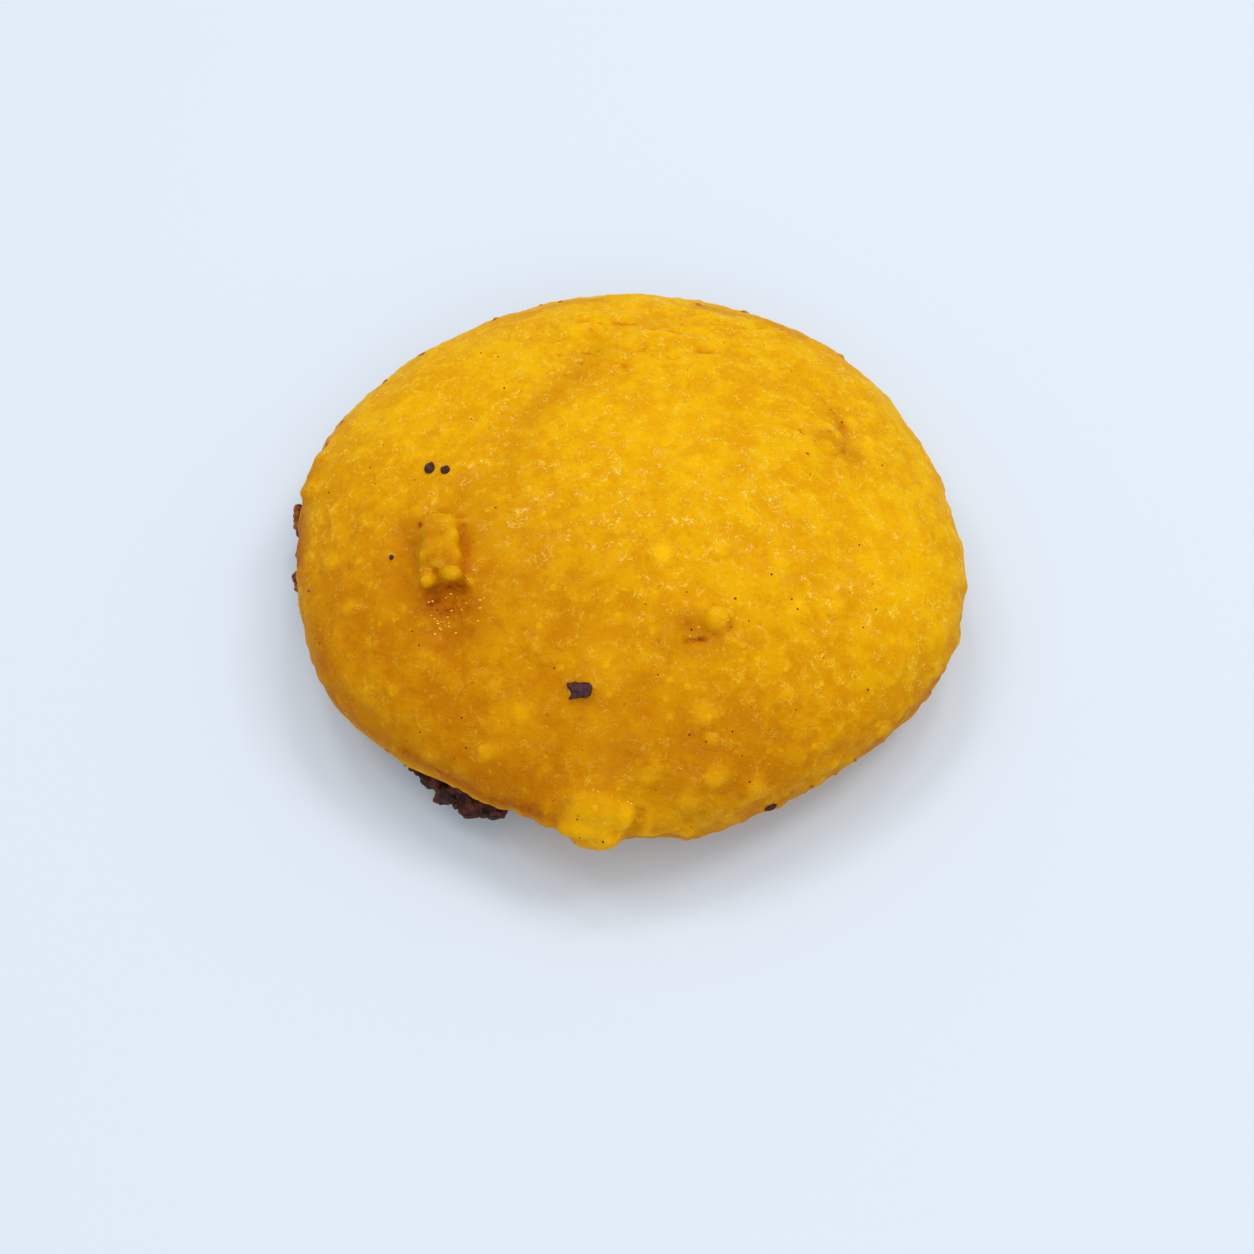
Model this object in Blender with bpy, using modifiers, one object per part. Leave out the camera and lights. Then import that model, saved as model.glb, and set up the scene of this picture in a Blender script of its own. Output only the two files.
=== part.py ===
"""A puffed, fried corn cake with a minced meat filling that shows where its seam has burst.

Metres, +Z up. The cake rests on the plane z = 0 and its front is towards -Y.
Run it with Blender 4.5: blender --background --python part.py
"""

import math
import random

import bmesh
import bpy
from mathutils import Matrix, Vector, noise
from mathutils.bvhtree import BVHTree

MM = 0.001

# The plain cake: a puffed crown over a shallow underside with a flat spot to rest on.
CAKE_WIDTH = 135 * MM
CAKE_DEPTH = 125.5 * MM
CAKE_HEIGHT = 38 * MM
RIM_HEIGHT = 15 * MM
CROWN_ROUNDING = 0.95
BELLY_FULLNESS = 0.75
HEEL_ROUNDING = 0.55
SEAT_DROP = 1.05

# Low lobes of the outline: how many go round, their share of the radius, where one of them lies.
OUTLINE_LOBES = (
    (2, 0.0052, -26.0),
    (3, 0.0028, -43.0),
    (4, 0.0055, -15.0),
    (5, 0.0074, -15.0),
    (6, 0.0109, -25.0),
    (7, 0.0025, 10.0),
)

# Lumps of dough on the crust: place, half sizes and turn about Z in degrees.
KNOB_LUMPS = (
    ((-35.0, -11.0, 34.2), (4.3, 5.5, 3.2), 12.0),
    ((-35.7, -16.0, 34.0), (4.0, 4.4, 3.0), 0.0),
    ((-33.4, -20.2, 34.8), (2.2, 2.0, 2.2), 0.0),
    ((-37.6, -20.6, 33.8), (1.6, 2.3, 1.9), -15.0),
    ((-30.0, -21.6, 34.8), (1.3, 1.6, 1.2), 0.0),
)
SEAL_LUMPS = (
    ((-6.4, -58.8, 17.0), (8.2, 6.0, 7.2), 4.0),
    ((-5.8, -61.6, 13.6), (6.2, 4.6, 5.4), 0.0),
    ((-13.2, -58.9, 17.4), (3.8, 4.2, 4.6), 0.0),
    ((0.6, -59.6, 17.6), (4.4, 4.0, 4.6), 0.0),
    ((-6.0, -58.0, 22.2), (6.4, 4.2, 3.4), 0.0),
)

# Hollows and swellings of the crust: x, y, radius and depth or height.
HOLLOWS = (
    (-33.8, -25.2, 4.8, 1.3),
    (-33.6, -30.0, 7.5, 0.9),
    (-29.4, -13.5, 4.4, 0.9),
    (-42.0, -13.0, 4.0, 0.7),
    (-36.0, -4.0, 6.0, 0.8),
    (-8.0, 30.0, 13.0, 0.8),
    (-18.0, 15.0, 13.0, 0.8),
    (-25.0, 2.0, 12.0, 0.7),
    (12.6, -34.2, 3.6, 0.9),
    (-14.0, -40.0, 12.0, 0.7),
    (38.0, 18.0, 5.0, 0.6),
    (32.0, 27.4, 4.0, 0.7),
    (-16.0, -56.0, 6.0, 1.0),
    (6.0, -61.0, 6.0, 1.1),
    (-66.0, 14.0, 9.0, 1.5),
    (-67.5, -1.0, 5.0, 0.7),
)
SWELLINGS = (
    (16.8, 1.0, 30.0, 1.0),
    (15.8, -29.2, 4.0, 0.9),
    (42.0, 12.6, 5.0, 0.8),
    (6.1, -17.5, 2.4, 0.5),
    (14.9, -56.7, 3.0, 0.6),
    (22.5, -58.1, 3.0, 0.6),
    (9.6, -59.9, 2.4, 0.5),
    (-53.8, -23.4, 2.2, 0.4),
    (-4.8, -38.0, 7.0, 0.5),
)
BLISTER_COUNT = 90
BLISTER_RADIUS = (1.2, 2.8)
BLISTER_HEIGHT = (0.20, 0.45)
BLISTER_SEED = 7
BLISTER_REACH = 0.97

# How likely a blister is: anywhere, more to the right, more to the front.
BLISTER_CHANCE = (0.35, 0.3, 0.25)

# Swellings, hollows and blisters stay above this height, clear of the seam.
FEATURE_FLOOR = 9 * MM

# Waves of the crust: wavelength and height.
WARP = (42.0, 0.9)
DIMPLING = (9.0, 0.35)
RIM_FRILL = (3.4, 0.55)
RIM_BAND = 7 * MM
REAR_WRINKLE = (3.2, 0.7)
REAR_WRINKLE_STRETCH = 4.5
REAR_MIDDLE = (4.0, 44.0)
REAR_RADIUS = 30 * MM

# Charred flakes on the crust: x, y, half sizes and turn about Z in degrees.
CHARRED_FLAKES = (
    (-9.4, -43.1, (2.1, 1.5, 0.5), -4.0),
    (-39.0, 4.1, (0.95, 1.5, 0.4), -20.0),
    (-36.0, 3.1, (0.95, 1.15, 0.4), 15.0),
    (-45.3, -14.8, (0.5, 0.75, 0.3), 0.0),
)
FLAKE_RISE = 0.15 * MM
RIM_FLAKE = ((25.4, -57.9, 15.6), (1.2, 0.6, 1.0), 24.0)

# The burst seam, in degrees round from +X, and the height that its lips leave open.
SEAM_START = 156.0
SEAM_END = 252.0
SEAM_FADE = 4.0
SEAM_LEVEL = 8.4
SEAM_HALF_OPEN = 2.1

# Where the filling bursts out: place and width in degrees, more opening in mm, more reach.
SEAM_BURSTS = (
    (241.5, 8.5, 2.5, 0.085),
    (171.0, 13.0, 1.8, 0.085),
)

# The filling: a slab through the cake, crumbled where it meets the seam.
FILLING_HALF_THICK = 4.4
FILLING_SHARE = 0.80
FILLING_SEAM_SHARE = 0.905
SLAB_EDGE = 0.5
CRUMB_CLEARANCE = 0.1
POCKET_CLEARANCE = 0.9
POCKET_SEAM_SHARE = 1.13

# The pocket's floor drops away past this share, which leaves the lower lip blunt.
LIP_SHARE = 0.86
LIP_FLARE = 70.0
SLAB_CUTS = 12
POCKET_CUTS = 40
CRUMB_COUNT = 28
CRUMB_RADIUS = (1.5, 2.6)
CRUMB_SEED = 3
CRUMB_DENT = 0.2
CRUMB_DENT_SIZE = 2.6

# Small crumbs: degrees left free at the seam's start and end, unevenness and burst of their reach.
CRUMB_MARGINS = (6.0, 3.0)
CRUMB_SPREAD = (-0.010, 0.006)
CRUMB_BURST = 0.6

# Larger crumbs that show past the crust: degrees, share of the radius, height and half size.
SHOWN_CRUMBS = (
    (223.0, 0.905, 8.0, 2.1),
    (226.6, 0.922, 7.4, 2.4),
    (230.4, 0.948, 7.0, 2.7),
    (234.4, 0.974, 6.7, 2.9),
    (238.6, 0.995, 6.5, 3.1),
    (242.8, 0.995, 6.3, 3.1),
    (246.8, 0.980, 6.8, 2.6),
    (240.6, 0.960, 9.4, 2.6),
    (163.0, 0.975, 8.2, 2.4),
    (166.6, 0.965, 8.6, 2.7),
    (165.9, 1.015, 8.6, 2.6),
    (168.6, 1.015, 8.8, 2.6),
    (172.4, 0.985, 8.2, 2.6),
    (175.8, 0.985, 8.6, 2.5),
    (178.8, 0.960, 8.2, 2.4),
    (179.0, 1.005, 8.2, 2.3),
    (182.6, 0.975, 8.2, 2.4),
    (186.4, 0.945, 8.0, 2.3),
    (190.6, 0.930, 8.4, 2.2),
)

# The crust takes its relief down to this depth, and the pocket's walls none.
CRUST_THICKNESS = (1.2 * MM, 3.0 * MM)
CAKE_CUTS = 47
VOXEL = 1.0 * MM
LUMP_SMOOTHING = 3
POCKET_SMOOTHING = 4
CAKE_TRIANGLES = 7850
SEAT_SNAP = 0.3 * MM

CRUST_COLOUR = (0.80, 0.46, 0.03, 1.0)
CRUST_ROUGHNESS = 0.42
MEAT_COLOUR = (0.10, 0.035, 0.015, 1.0)
MEAT_ROUGHNESS = 0.5
SHARP_DEGREES = 40.0


def clear_scene():
    for obj in list(bpy.data.objects):
        bpy.data.objects.remove(obj, do_unlink=True)


def outline(angle):
    """How far the rim lies out at this angle, as a share of the plain oval."""
    share = 1.0
    for count, height, first in OUTLINE_LOBES:
        share += height * math.cos(count * (angle - math.radians(first)))
    return share


def rim_point(angle, share, z):
    """A point at a share of the way out to the rim, in metres."""
    reach = share * outline(angle)
    return Vector(
        (
            CAKE_WIDTH / 2 * reach * math.cos(angle),
            CAKE_DEPTH / 2 * reach * math.sin(angle),
            z,
        )
    )


def cake_point(direction):
    """Where a point of a unit sphere goes on the plain cake."""
    level = math.hypot(direction.x, direction.y)
    rise = abs(direction.z)
    angle = math.atan2(direction.y, direction.x)
    if direction.z >= 0:
        crown = CAKE_HEIGHT - RIM_HEIGHT
        return rim_point(angle, level, RIM_HEIGHT + crown * rise**CROWN_ROUNDING)
    drop = SEAT_DROP * rise**HEEL_ROUNDING
    return rim_point(angle, level**BELLY_FULLNESS, RIM_HEIGHT * (1 - drop))


def on_crown(x_mm, y_mm):
    """The point of the plain crown above this place."""
    x, y = x_mm * MM, y_mm * MM
    angle = math.atan2(y / CAKE_DEPTH, x / CAKE_WIDTH)
    level = 2 * math.hypot(x / CAKE_WIDTH, y / CAKE_DEPTH) / outline(angle)
    rise = math.sqrt(max(0.0, 1 - level * level))
    crown = CAKE_HEIGHT - RIM_HEIGHT
    return Vector((x, y, RIM_HEIGHT + crown * rise**CROWN_ROUNDING))


def quad_sphere(bm, cuts, place):
    """A cube cut into a grid on each side, each point then put where place() says."""
    made = bmesh.ops.create_cube(bm, size=2.0)
    edges = {e for v in made["verts"] for e in v.link_edges}
    bmesh.ops.subdivide_edges(bm, edges=list(edges), cuts=cuts, use_grid_fill=True)
    for vert in bm.verts:
        vert.co = place(vert.co.normalized())


def add_lump(bm, centre_mm, half_mm, turn, subdivisions=4):
    """A ball of dough, stretched, turned and put in place."""
    matrix = Matrix.LocRotScale(
        Vector(centre_mm) * MM,
        Matrix.Rotation(math.radians(turn), 3, "Z"),
        Vector(half_mm) * MM,
    )
    return bmesh.ops.create_icosphere(
        bm, subdivisions=subdivisions, radius=1.0, matrix=matrix
    )["verts"]


def object_of(name, bm, collection):
    """Makes an object of a bmesh, in a collection."""
    mesh = bpy.data.meshes.new(name)
    bm.to_mesh(mesh)
    bm.free()
    obj = bpy.data.objects.new(name, mesh)
    collection.objects.link(obj)
    return obj


def apply_modifiers(obj):
    """Makes the object's mesh what its modifiers show."""
    graph = bpy.context.evaluated_depsgraph_get()
    mesh = bpy.data.meshes.new_from_object(obj.evaluated_get(graph))
    obj.modifiers.clear()
    obj.data = mesh


def hat(distance, radius):
    """A smooth bump: 1 in the middle, 0 from the radius outwards."""
    if distance >= radius:
        return 0.0
    fall = 1 - (distance / radius) ** 2
    return fall * fall


def blisters():
    """Small blisters, thickest on the right and towards the front, as x, y, radius, height."""
    rng = random.Random(BLISTER_SEED)
    found = []
    while len(found) < BLISTER_COUNT:
        angle = rng.uniform(0, 2 * math.pi)
        share = math.sqrt(rng.random()) * BLISTER_REACH
        point = rim_point(angle, share, 0) / MM
        anywhere, right, front = BLISTER_CHANCE
        chance = anywhere + right * math.cos(angle) - front * math.sin(angle)
        if rng.random() > chance:
            continue
        size = rng.random() ** 2
        radius = BLISTER_RADIUS[0] + (BLISTER_RADIUS[1] - BLISTER_RADIUS[0]) * size
        height = BLISTER_HEIGHT[0] + (BLISTER_HEIGHT[1] - BLISTER_HEIGHT[0]) * size
        found.append((point.x, point.y, radius, height))
    return found


def crust_features():
    """Every local swelling and hollow, as a point in metres, a radius and a height."""
    rows = [(*row[:3], row[3]) for row in SWELLINGS]
    rows += [(*row[:3], -row[3]) for row in HOLLOWS]
    rows += blisters()
    return [(on_crown(x, y), radius * MM, height * MM) for x, y, radius, height in rows]


def wave(point, wavelength_mm, stretch=(1.0, 1.0, 1.0)):
    """Smooth noise from -1 to 1 with this wavelength."""
    scaled = Vector(p / (wavelength_mm * MM * s) for p, s in zip(point, stretch))
    return noise.noise(scaled)


def crust_relief(point, features):
    """How far the crust stands out from the plain cake at this point."""
    height = WARP[1] * wave(point, WARP[0])
    height += DIMPLING[1] * wave(point, DIMPLING[0])
    near_rim = hat(abs(point.z - RIM_HEIGHT), RIM_BAND)
    height += RIM_FRILL[1] * near_rim * wave(point, RIM_FRILL[0])
    rear = hat((point - on_crown(*REAR_MIDDLE)).length, REAR_RADIUS)
    along = (REAR_WRINKLE_STRETCH, 1.0, 1.0)
    height += REAR_WRINKLE[1] * rear * wave(point, REAR_WRINKLE[0], along)
    height *= MM
    if point.z > FEATURE_FLOOR:
        for centre, radius, rise in features:
            height += rise * hat((point - centre).length, radius)
    return height


def crust_share(point, skin):
    """1 on the plain crust and 0 deep inside the cake."""
    near, far = CRUST_THICKNESS
    depth = skin.find_nearest(point)[3]
    return max(0.0, min(1.0, (far - depth) / (far - near)))


def shape_crust(mesh, skin):
    """Moves every point of the crust out by the relief."""
    features = crust_features()
    bm = bmesh.new()
    bm.from_mesh(mesh)
    bm.normal_update()
    moves = []
    for vert in bm.verts:
        share = crust_share(vert.co, skin) * hat(max(0.0, -vert.normal.z), 1.0)
        moves.append(vert.normal * crust_relief(vert.co, features) * share)
    for vert, move in zip(bm.verts, moves):
        vert.co += move
    bm.to_mesh(mesh)
    bm.free()


def flatten_seat(mesh):
    """Presses the lowest points onto the plane that the cake rests on."""
    for vert in mesh.vertices:
        if vert.co.z < SEAT_SNAP:
            vert.co.z = 0.0


def seam_open(angle):
    """1 along the burst seam and 0 elsewhere, as a share."""
    degrees = math.degrees(angle) % 360
    into = min(degrees - SEAM_START, SEAM_END - degrees)
    share = max(0.0, min(1.0, into / SEAM_FADE))
    return share * share * (3 - 2 * share)


def seam_burst(angle, column):
    """What the bursts add at this angle, from a column of their table."""
    degrees = math.degrees(angle) % 360
    return sum(
        row[column] * math.exp(-(((degrees - row[0]) / row[1]) ** 2))
        for row in SEAM_BURSTS
    )


def seam_half(angle):
    """Half the height that the seam's lips leave open, in millimetres."""
    return SEAM_HALF_OPEN + seam_burst(angle, 2)


def slab_point(direction, seam_share, clearance, flare):
    """Where a point of a unit sphere goes on the slab of filling, or on its pocket."""
    level = math.hypot(direction.x, direction.y)
    rise = abs(direction.z)
    angle = math.atan2(direction.y, direction.x)
    mouth = seam_open(angle) * level**4
    seam_share += seam_burst(angle, 3)
    share = FILLING_SHARE + (seam_share - FILLING_SHARE) * mouth
    share *= level**SLAB_EDGE
    edge = seam_half(angle) - POCKET_CLEARANCE
    half = FILLING_HALF_THICK + (edge - FILLING_HALF_THICK) * mouth + clearance
    lift = math.copysign(half * rise**SLAB_EDGE, direction.z)
    if direction.z < 0:
        lift -= flare * max(0.0, share - LIP_SHARE)
    point = rim_point(angle, share, (SEAM_LEVEL + lift) * MM)
    outward = Vector((direction.x, direction.y, 0.0))
    return point + outward * clearance * MM


def make_slab(name, cuts, seam_share, clearance, flare, collection):
    bm = bmesh.new()
    quad_sphere(bm, cuts, lambda d: slab_point(d, seam_share, clearance, flare))
    return object_of(name, bm, collection)


def small_crumbs():
    """Crumbs all along the seam, as degrees, share of the radius, height and half size."""
    rng = random.Random(CRUMB_SEED)
    first = SEAM_START + CRUMB_MARGINS[0]
    last = SEAM_END - CRUMB_MARGINS[1]
    for index in range(CRUMB_COUNT):
        share = (index + rng.random()) / CRUMB_COUNT
        degrees = first + (last - first) * share
        angle = math.radians(degrees)
        room = seam_half(angle) - POCKET_CLEARANCE
        radius = min(rng.uniform(*CRUMB_RADIUS), room)
        offset = rng.uniform(-1.0, 1.0) * (room - radius)
        reach = FILLING_SHARE + (FILLING_SEAM_SHARE - FILLING_SHARE) * seam_open(angle)
        reach += CRUMB_BURST * seam_burst(angle, 3) + rng.uniform(*CRUMB_SPREAD)
        yield degrees, reach, SEAM_LEVEL + offset, radius


def make_crumb(name, degrees, share, height_mm, radius, collection):
    """A crumb of meat: a ball, squashed and dented."""
    bm = bmesh.new()
    rng = random.Random(name)
    centre = rim_point(math.radians(degrees), share, height_mm * MM)
    half = [radius * rng.uniform(0.85, 1.15) for _ in "xyz"]
    verts = add_lump(bm, centre / MM, half, rng.uniform(0, 180), subdivisions=1)
    for vert in verts:
        dent = 1 + CRUMB_DENT * wave(vert.co, CRUMB_DENT_SIZE)
        vert.co = centre + (vert.co - centre) * dent
    return object_of(name, bm, collection)


def boolean(obj, operation, other=None, collection=None):
    modifier = obj.modifiers.new(operation.title(), "BOOLEAN")
    modifier.operation = operation
    modifier.solver = "EXACT"
    if collection:
        modifier.operand_type = "COLLECTION"
        modifier.collection = collection
    else:
        modifier.object = other
    apply_modifiers(obj)


def remove_objects(objects):
    for obj in list(objects):
        bpy.data.objects.remove(obj, do_unlink=True)


def make_material(name, colour, roughness):
    material = bpy.data.materials.new(name)
    material.use_nodes = True
    shader = material.node_tree.nodes["Principled BSDF"]
    shader.inputs["Base Color"].default_value = colour
    shader.inputs["Roughness"].default_value = roughness
    shader.inputs["Metallic"].default_value = 0.0
    material.diffuse_color = colour
    return material


def finish(obj, material):
    obj.data.materials.clear()
    obj.data.materials.append(material)
    obj.data.shade_smooth()
    obj.data.set_sharp_from_angle(angle=math.radians(SHARP_DEGREES))


def knead(obj, iterations):
    """Makes one even skin of all that the object is made of, with rounded edges."""
    remesh = obj.modifiers.new("Knead", "REMESH")
    remesh.mode = "VOXEL"
    remesh.voxel_size = VOXEL
    smooth = obj.modifiers.new("Soften", "SMOOTH")
    smooth.factor = 0.5
    smooth.iterations = iterations
    apply_modifiers(obj)


def skin_of(mesh):
    """A tree that finds the nearest point of a mesh."""
    bm = bmesh.new()
    bm.from_mesh(mesh)
    tree = BVHTree.FromBMesh(bm)
    bm.free()
    return tree


def make_cake(collection, helpers):
    """The cake with its lumps of dough, its pocket, its relief and its flat seat."""
    bm = bmesh.new()
    quad_sphere(bm, CAKE_CUTS, cake_point)
    for centre, half, turn in KNOB_LUMPS + SEAL_LUMPS:
        add_lump(bm, centre, half, turn)
    cake = object_of("corn_cake", bm, collection)
    knead(cake, LUMP_SMOOTHING)
    skin = skin_of(cake.data)
    pocket = make_slab(
        "pocket",
        POCKET_CUTS,
        POCKET_SEAM_SHARE,
        POCKET_CLEARANCE,
        LIP_FLARE,
        helpers,
    )
    boolean(cake, "DIFFERENCE", other=pocket)
    remove_objects([pocket])
    knead(cake, POCKET_SMOOTHING)
    shape_crust(cake.data, skin)
    decimate = cake.modifiers.new("Thin", "DECIMATE")
    decimate.ratio = CAKE_TRIANGLES / (2 * len(cake.data.polygons))
    apply_modifiers(cake)
    flatten_seat(cake.data)
    return cake


def make_flakes(collection):
    """Charred flakes, half sunk in the crust that they are stuck to."""
    places = [(on_crown(x, y) / MM, half, turn) for x, y, half, turn in CHARRED_FLAKES]
    places.append((Vector(RIM_FLAKE[0]), RIM_FLAKE[1], RIM_FLAKE[2]))
    for index, (centre, half, turn) in enumerate(places):
        bm = bmesh.new()
        add_lump(bm, centre, half, turn, subdivisions=2 if half[0] > 1 else 1)
        object_of(f"flake_{index}", bm, collection)


def settle(flakes, cake):
    """Puts each flake's middle on the crust right below or beside it."""
    for flake in flakes:
        middle = sum((v.co for v in flake.data.vertices), Vector()) / len(
            flake.data.vertices
        )
        found, point, normal, _ = cake.closest_point_on_mesh(middle)
        if found:
            turn = Vector((0, 0, 1)).rotation_difference(normal).to_matrix().to_4x4()
            flake.data.transform(
                Matrix.Translation(point + normal * FLAKE_RISE)
                @ turn
                @ Matrix.Translation(-middle)
            )


def make_filling(collection, crumbs_collection):
    """The slab and its crumbs, trimmed to stay clear of the pocket's walls."""
    filling = make_slab(
        "filling", SLAB_CUTS, FILLING_SEAM_SHARE, 0.0, 0.0, collection
    )
    for index, row in enumerate(list(SHOWN_CRUMBS) + list(small_crumbs())):
        make_crumb(f"crumb_{index:02d}", *row, crumbs_collection)
    boolean(filling, "UNION", collection=crumbs_collection)
    remove_objects(crumbs_collection.objects)
    room = make_slab(
        "room",
        POCKET_CUTS,
        POCKET_SEAM_SHARE,
        CRUMB_CLEARANCE,
        0.0,
        crumbs_collection,
    )
    boolean(filling, "INTERSECT", other=room)
    remove_objects([room])
    return filling


def centre_on_origin(objects):
    """Moves everything so that the origin is under the middle of the whole."""
    points = [v.co for obj in objects for v in obj.data.vertices]
    low_x, high_x = min(p.x for p in points), max(p.x for p in points)
    low_y, high_y = min(p.y for p in points), max(p.y for p in points)
    shift = Matrix.Translation((-(low_x + high_x) / 2, -(low_y + high_y) / 2, 0.0))
    for obj in objects:
        obj.data.transform(shift)


def new_collection(name, parent):
    collection = bpy.data.collections.new(name)
    parent.children.link(collection)
    return collection


def main():
    clear_scene()
    top = bpy.context.scene.collection
    parts = new_collection("filled_corn_cake", top)
    helpers = new_collection("cutters", top)
    crumbs = new_collection("crumbs", top)
    flakes = new_collection("flakes", top)

    cake = make_cake(parts, helpers)
    make_flakes(flakes)
    settle(flakes.objects, cake)
    boolean(cake, "UNION", collection=flakes)
    remove_objects(flakes.objects)

    filling = make_filling(parts, crumbs)
    centre_on_origin([cake, filling])
    finish(cake, make_material("fried_corn_crust", CRUST_COLOUR, CRUST_ROUGHNESS))
    finish(filling, make_material("browned_meat", MEAT_COLOUR, MEAT_ROUGHNESS))


main()
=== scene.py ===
# %% [markdown]
# A filled corn cake, fried until it puffs.
# The cake is one thick dough of ground corn, patted round a spoonful of
# minced meat, pinched shut and fried in deep oil. Its solids come from the
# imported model. This lesson gives them their skin: a kneaded and blistered
# crust, the meat in the burst seam, a few charred crumbs and the finishes.

# %% Load the frame
import math
import random
import bmesh
import bpy
import numpy as np
from mathutils import Matrix, Vector, kdtree
from mathutils.bvhtree import BVHTree


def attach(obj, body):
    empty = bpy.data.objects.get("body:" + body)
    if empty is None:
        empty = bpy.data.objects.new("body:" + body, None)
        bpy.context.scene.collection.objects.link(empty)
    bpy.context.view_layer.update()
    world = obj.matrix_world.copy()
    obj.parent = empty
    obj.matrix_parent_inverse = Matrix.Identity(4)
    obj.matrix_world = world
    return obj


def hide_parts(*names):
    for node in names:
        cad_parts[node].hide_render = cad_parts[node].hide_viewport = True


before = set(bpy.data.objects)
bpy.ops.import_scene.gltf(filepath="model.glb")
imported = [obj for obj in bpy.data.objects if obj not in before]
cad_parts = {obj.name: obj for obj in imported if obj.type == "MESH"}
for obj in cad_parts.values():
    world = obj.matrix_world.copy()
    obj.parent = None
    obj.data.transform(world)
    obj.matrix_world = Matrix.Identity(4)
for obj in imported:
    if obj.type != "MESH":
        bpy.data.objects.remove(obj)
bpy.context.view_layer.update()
MM = 0.001

# %% [markdown]
# The camera looks down on the cake from the front at 60 degrees. Its lens
# and distance were fitted to the outline of the cake, so that a place in the
# picture can be found again on the crust by following a ray. Colours are
# shown as they are, with no film curve, because the crust's yellow is
# judged against the picture.

# %% Camera
bpy.context.scene.view_settings.view_transform = "Standard"
PICTURE_SIDE = 1254
FOCAL_PIXELS = 1400
SENSOR_WIDTH = 36
CAMERA_TARGET = Vector((0.73, -18.69, 15.0)) * MM
CAMERA_ELEVATION = math.radians(60)
CAMERA_DISTANCE = 275.4 * MM

towards_camera = Vector((0, -math.cos(CAMERA_ELEVATION), math.sin(CAMERA_ELEVATION)))
bpy.ops.object.camera_add(
    location=CAMERA_TARGET + towards_camera * CAMERA_DISTANCE,
    rotation=towards_camera.to_track_quat("Z", "Y").to_euler(),
)
camera = bpy.context.active_object
camera.name = "photo_camera"
camera.data.sensor_width = SENSOR_WIDTH
camera.data.lens = SENSOR_WIDTH * FOCAL_PIXELS / PICTURE_SIDE
bpy.context.scene.camera = camera
bpy.context.view_layer.update()
print("camera at", camera.location[:], "lens", round(camera.data.lens, 2))

# %% [markdown]
# Most details of the cake are placed by their pixel in the picture. A ray
# starts at the camera and runs through that pixel. Where it meets the crust
# later on, the detail is put, so it always sits on the dough.

# %% Follow a ray through a place in the picture
def picture_ray(x, y):
    """Gives the start and direction of the ray through a pixel of the picture."""
    middle = PICTURE_SIDE / 2
    inside = Vector((x - middle, middle - y, -FOCAL_PIXELS))
    turn = camera.matrix_world.to_3x3()
    return camera.location.copy(), (turn @ inside).normalized()


print("middle ray:", picture_ray(627, 627)[1][:])

# %% [markdown]
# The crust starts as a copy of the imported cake. The copy is loose triangles,
# so its doubles are merged first. A voxel remesh then gives it even, small
# quads, which take a soft relief better than long triangles do.

# %% Copy the cake's solid
def deselect_all():
    """Leaves object mode's selection empty."""
    bpy.ops.object.select_all(action="DESELECT")


def choose(piece):
    """Makes one object the only selected and active one."""
    deselect_all()
    piece.select_set(True)
    bpy.context.view_layer.objects.active = piece


MERGE_WITHIN = 0.001 * MM


def copy_of_solid(node, name):
    """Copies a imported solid, merges its loose triangles and frees the copy."""
    choose(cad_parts[node])
    bpy.ops.object.duplicate()
    piece = bpy.context.active_object
    piece.parent = None
    piece.name = name
    piece.data.name = name
    bpy.ops.object.mode_set(mode="EDIT")
    bpy.ops.mesh.select_all(action="SELECT")
    bpy.ops.mesh.remove_doubles(threshold=MERGE_WITHIN)
    bpy.ops.object.mode_set(mode="OBJECT")
    return piece


def finish_with(piece, kind, **settings):
    """Adds a modifier with its settings and applies it."""
    choose(piece)
    step = piece.modifiers.new(kind.title(), kind)
    for setting, value in settings.items():
        setattr(step, setting, value)
    bpy.ops.object.modifier_apply(modifier=step.name)


ROUGH_VOXEL = 0.8 * MM
crust = copy_of_solid("corn_cake", "fried_crust")
finish_with(crust, "REMESH", mode="VOXEL", voxel_size=ROUGH_VOXEL)
finish_with(crust, "SMOOTH", factor=0.5, iterations=3)
print("crust:", len(crust.data.vertices), "points")

# %% [markdown]
# The knob on top and the nub at the front are scraps of dough that were
# pressed on when the cake was closed. Each is a heap of small lobes. A lobe
# is an ico sphere, stretched and set half into the skin, and the next
# remesh joins all of them into one dough, with the creases between them.
# Three more lobes pinch the rear end of the burst seam shut.

# %% Press dough lobes onto the skin
def skin_tree(piece):
    """Gives a tree of the piece's faces, to find places on it."""
    return BVHTree.FromObject(piece, bpy.context.evaluated_depsgraph_get())


def seen_place(tree, x, y):
    """Gives the place and normal on the skin behind a pixel of the picture."""
    start, direction = picture_ray(x, y)
    place, normal, _, _ = tree.ray_cast(start, direction)
    return place, normal


CAKE_MIDDLE = (631, 568)
RIM_STEP = 0.005
RIM_STEPS = 40


def rim_place(tree, x, y):
    """Gives the place behind a pixel, or the nearest one towards the middle."""
    for step in range(RIM_STEPS):
        share = step * RIM_STEP
        inner_x = x + (CAKE_MIDDLE[0] - x) * share
        inner_y = y + (CAKE_MIDDLE[1] - y) * share
        place, normal = seen_place(tree, inner_x, inner_y)
        if place is not None:
            return place, normal
    raise ValueError("no skin near the pixel")


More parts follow.
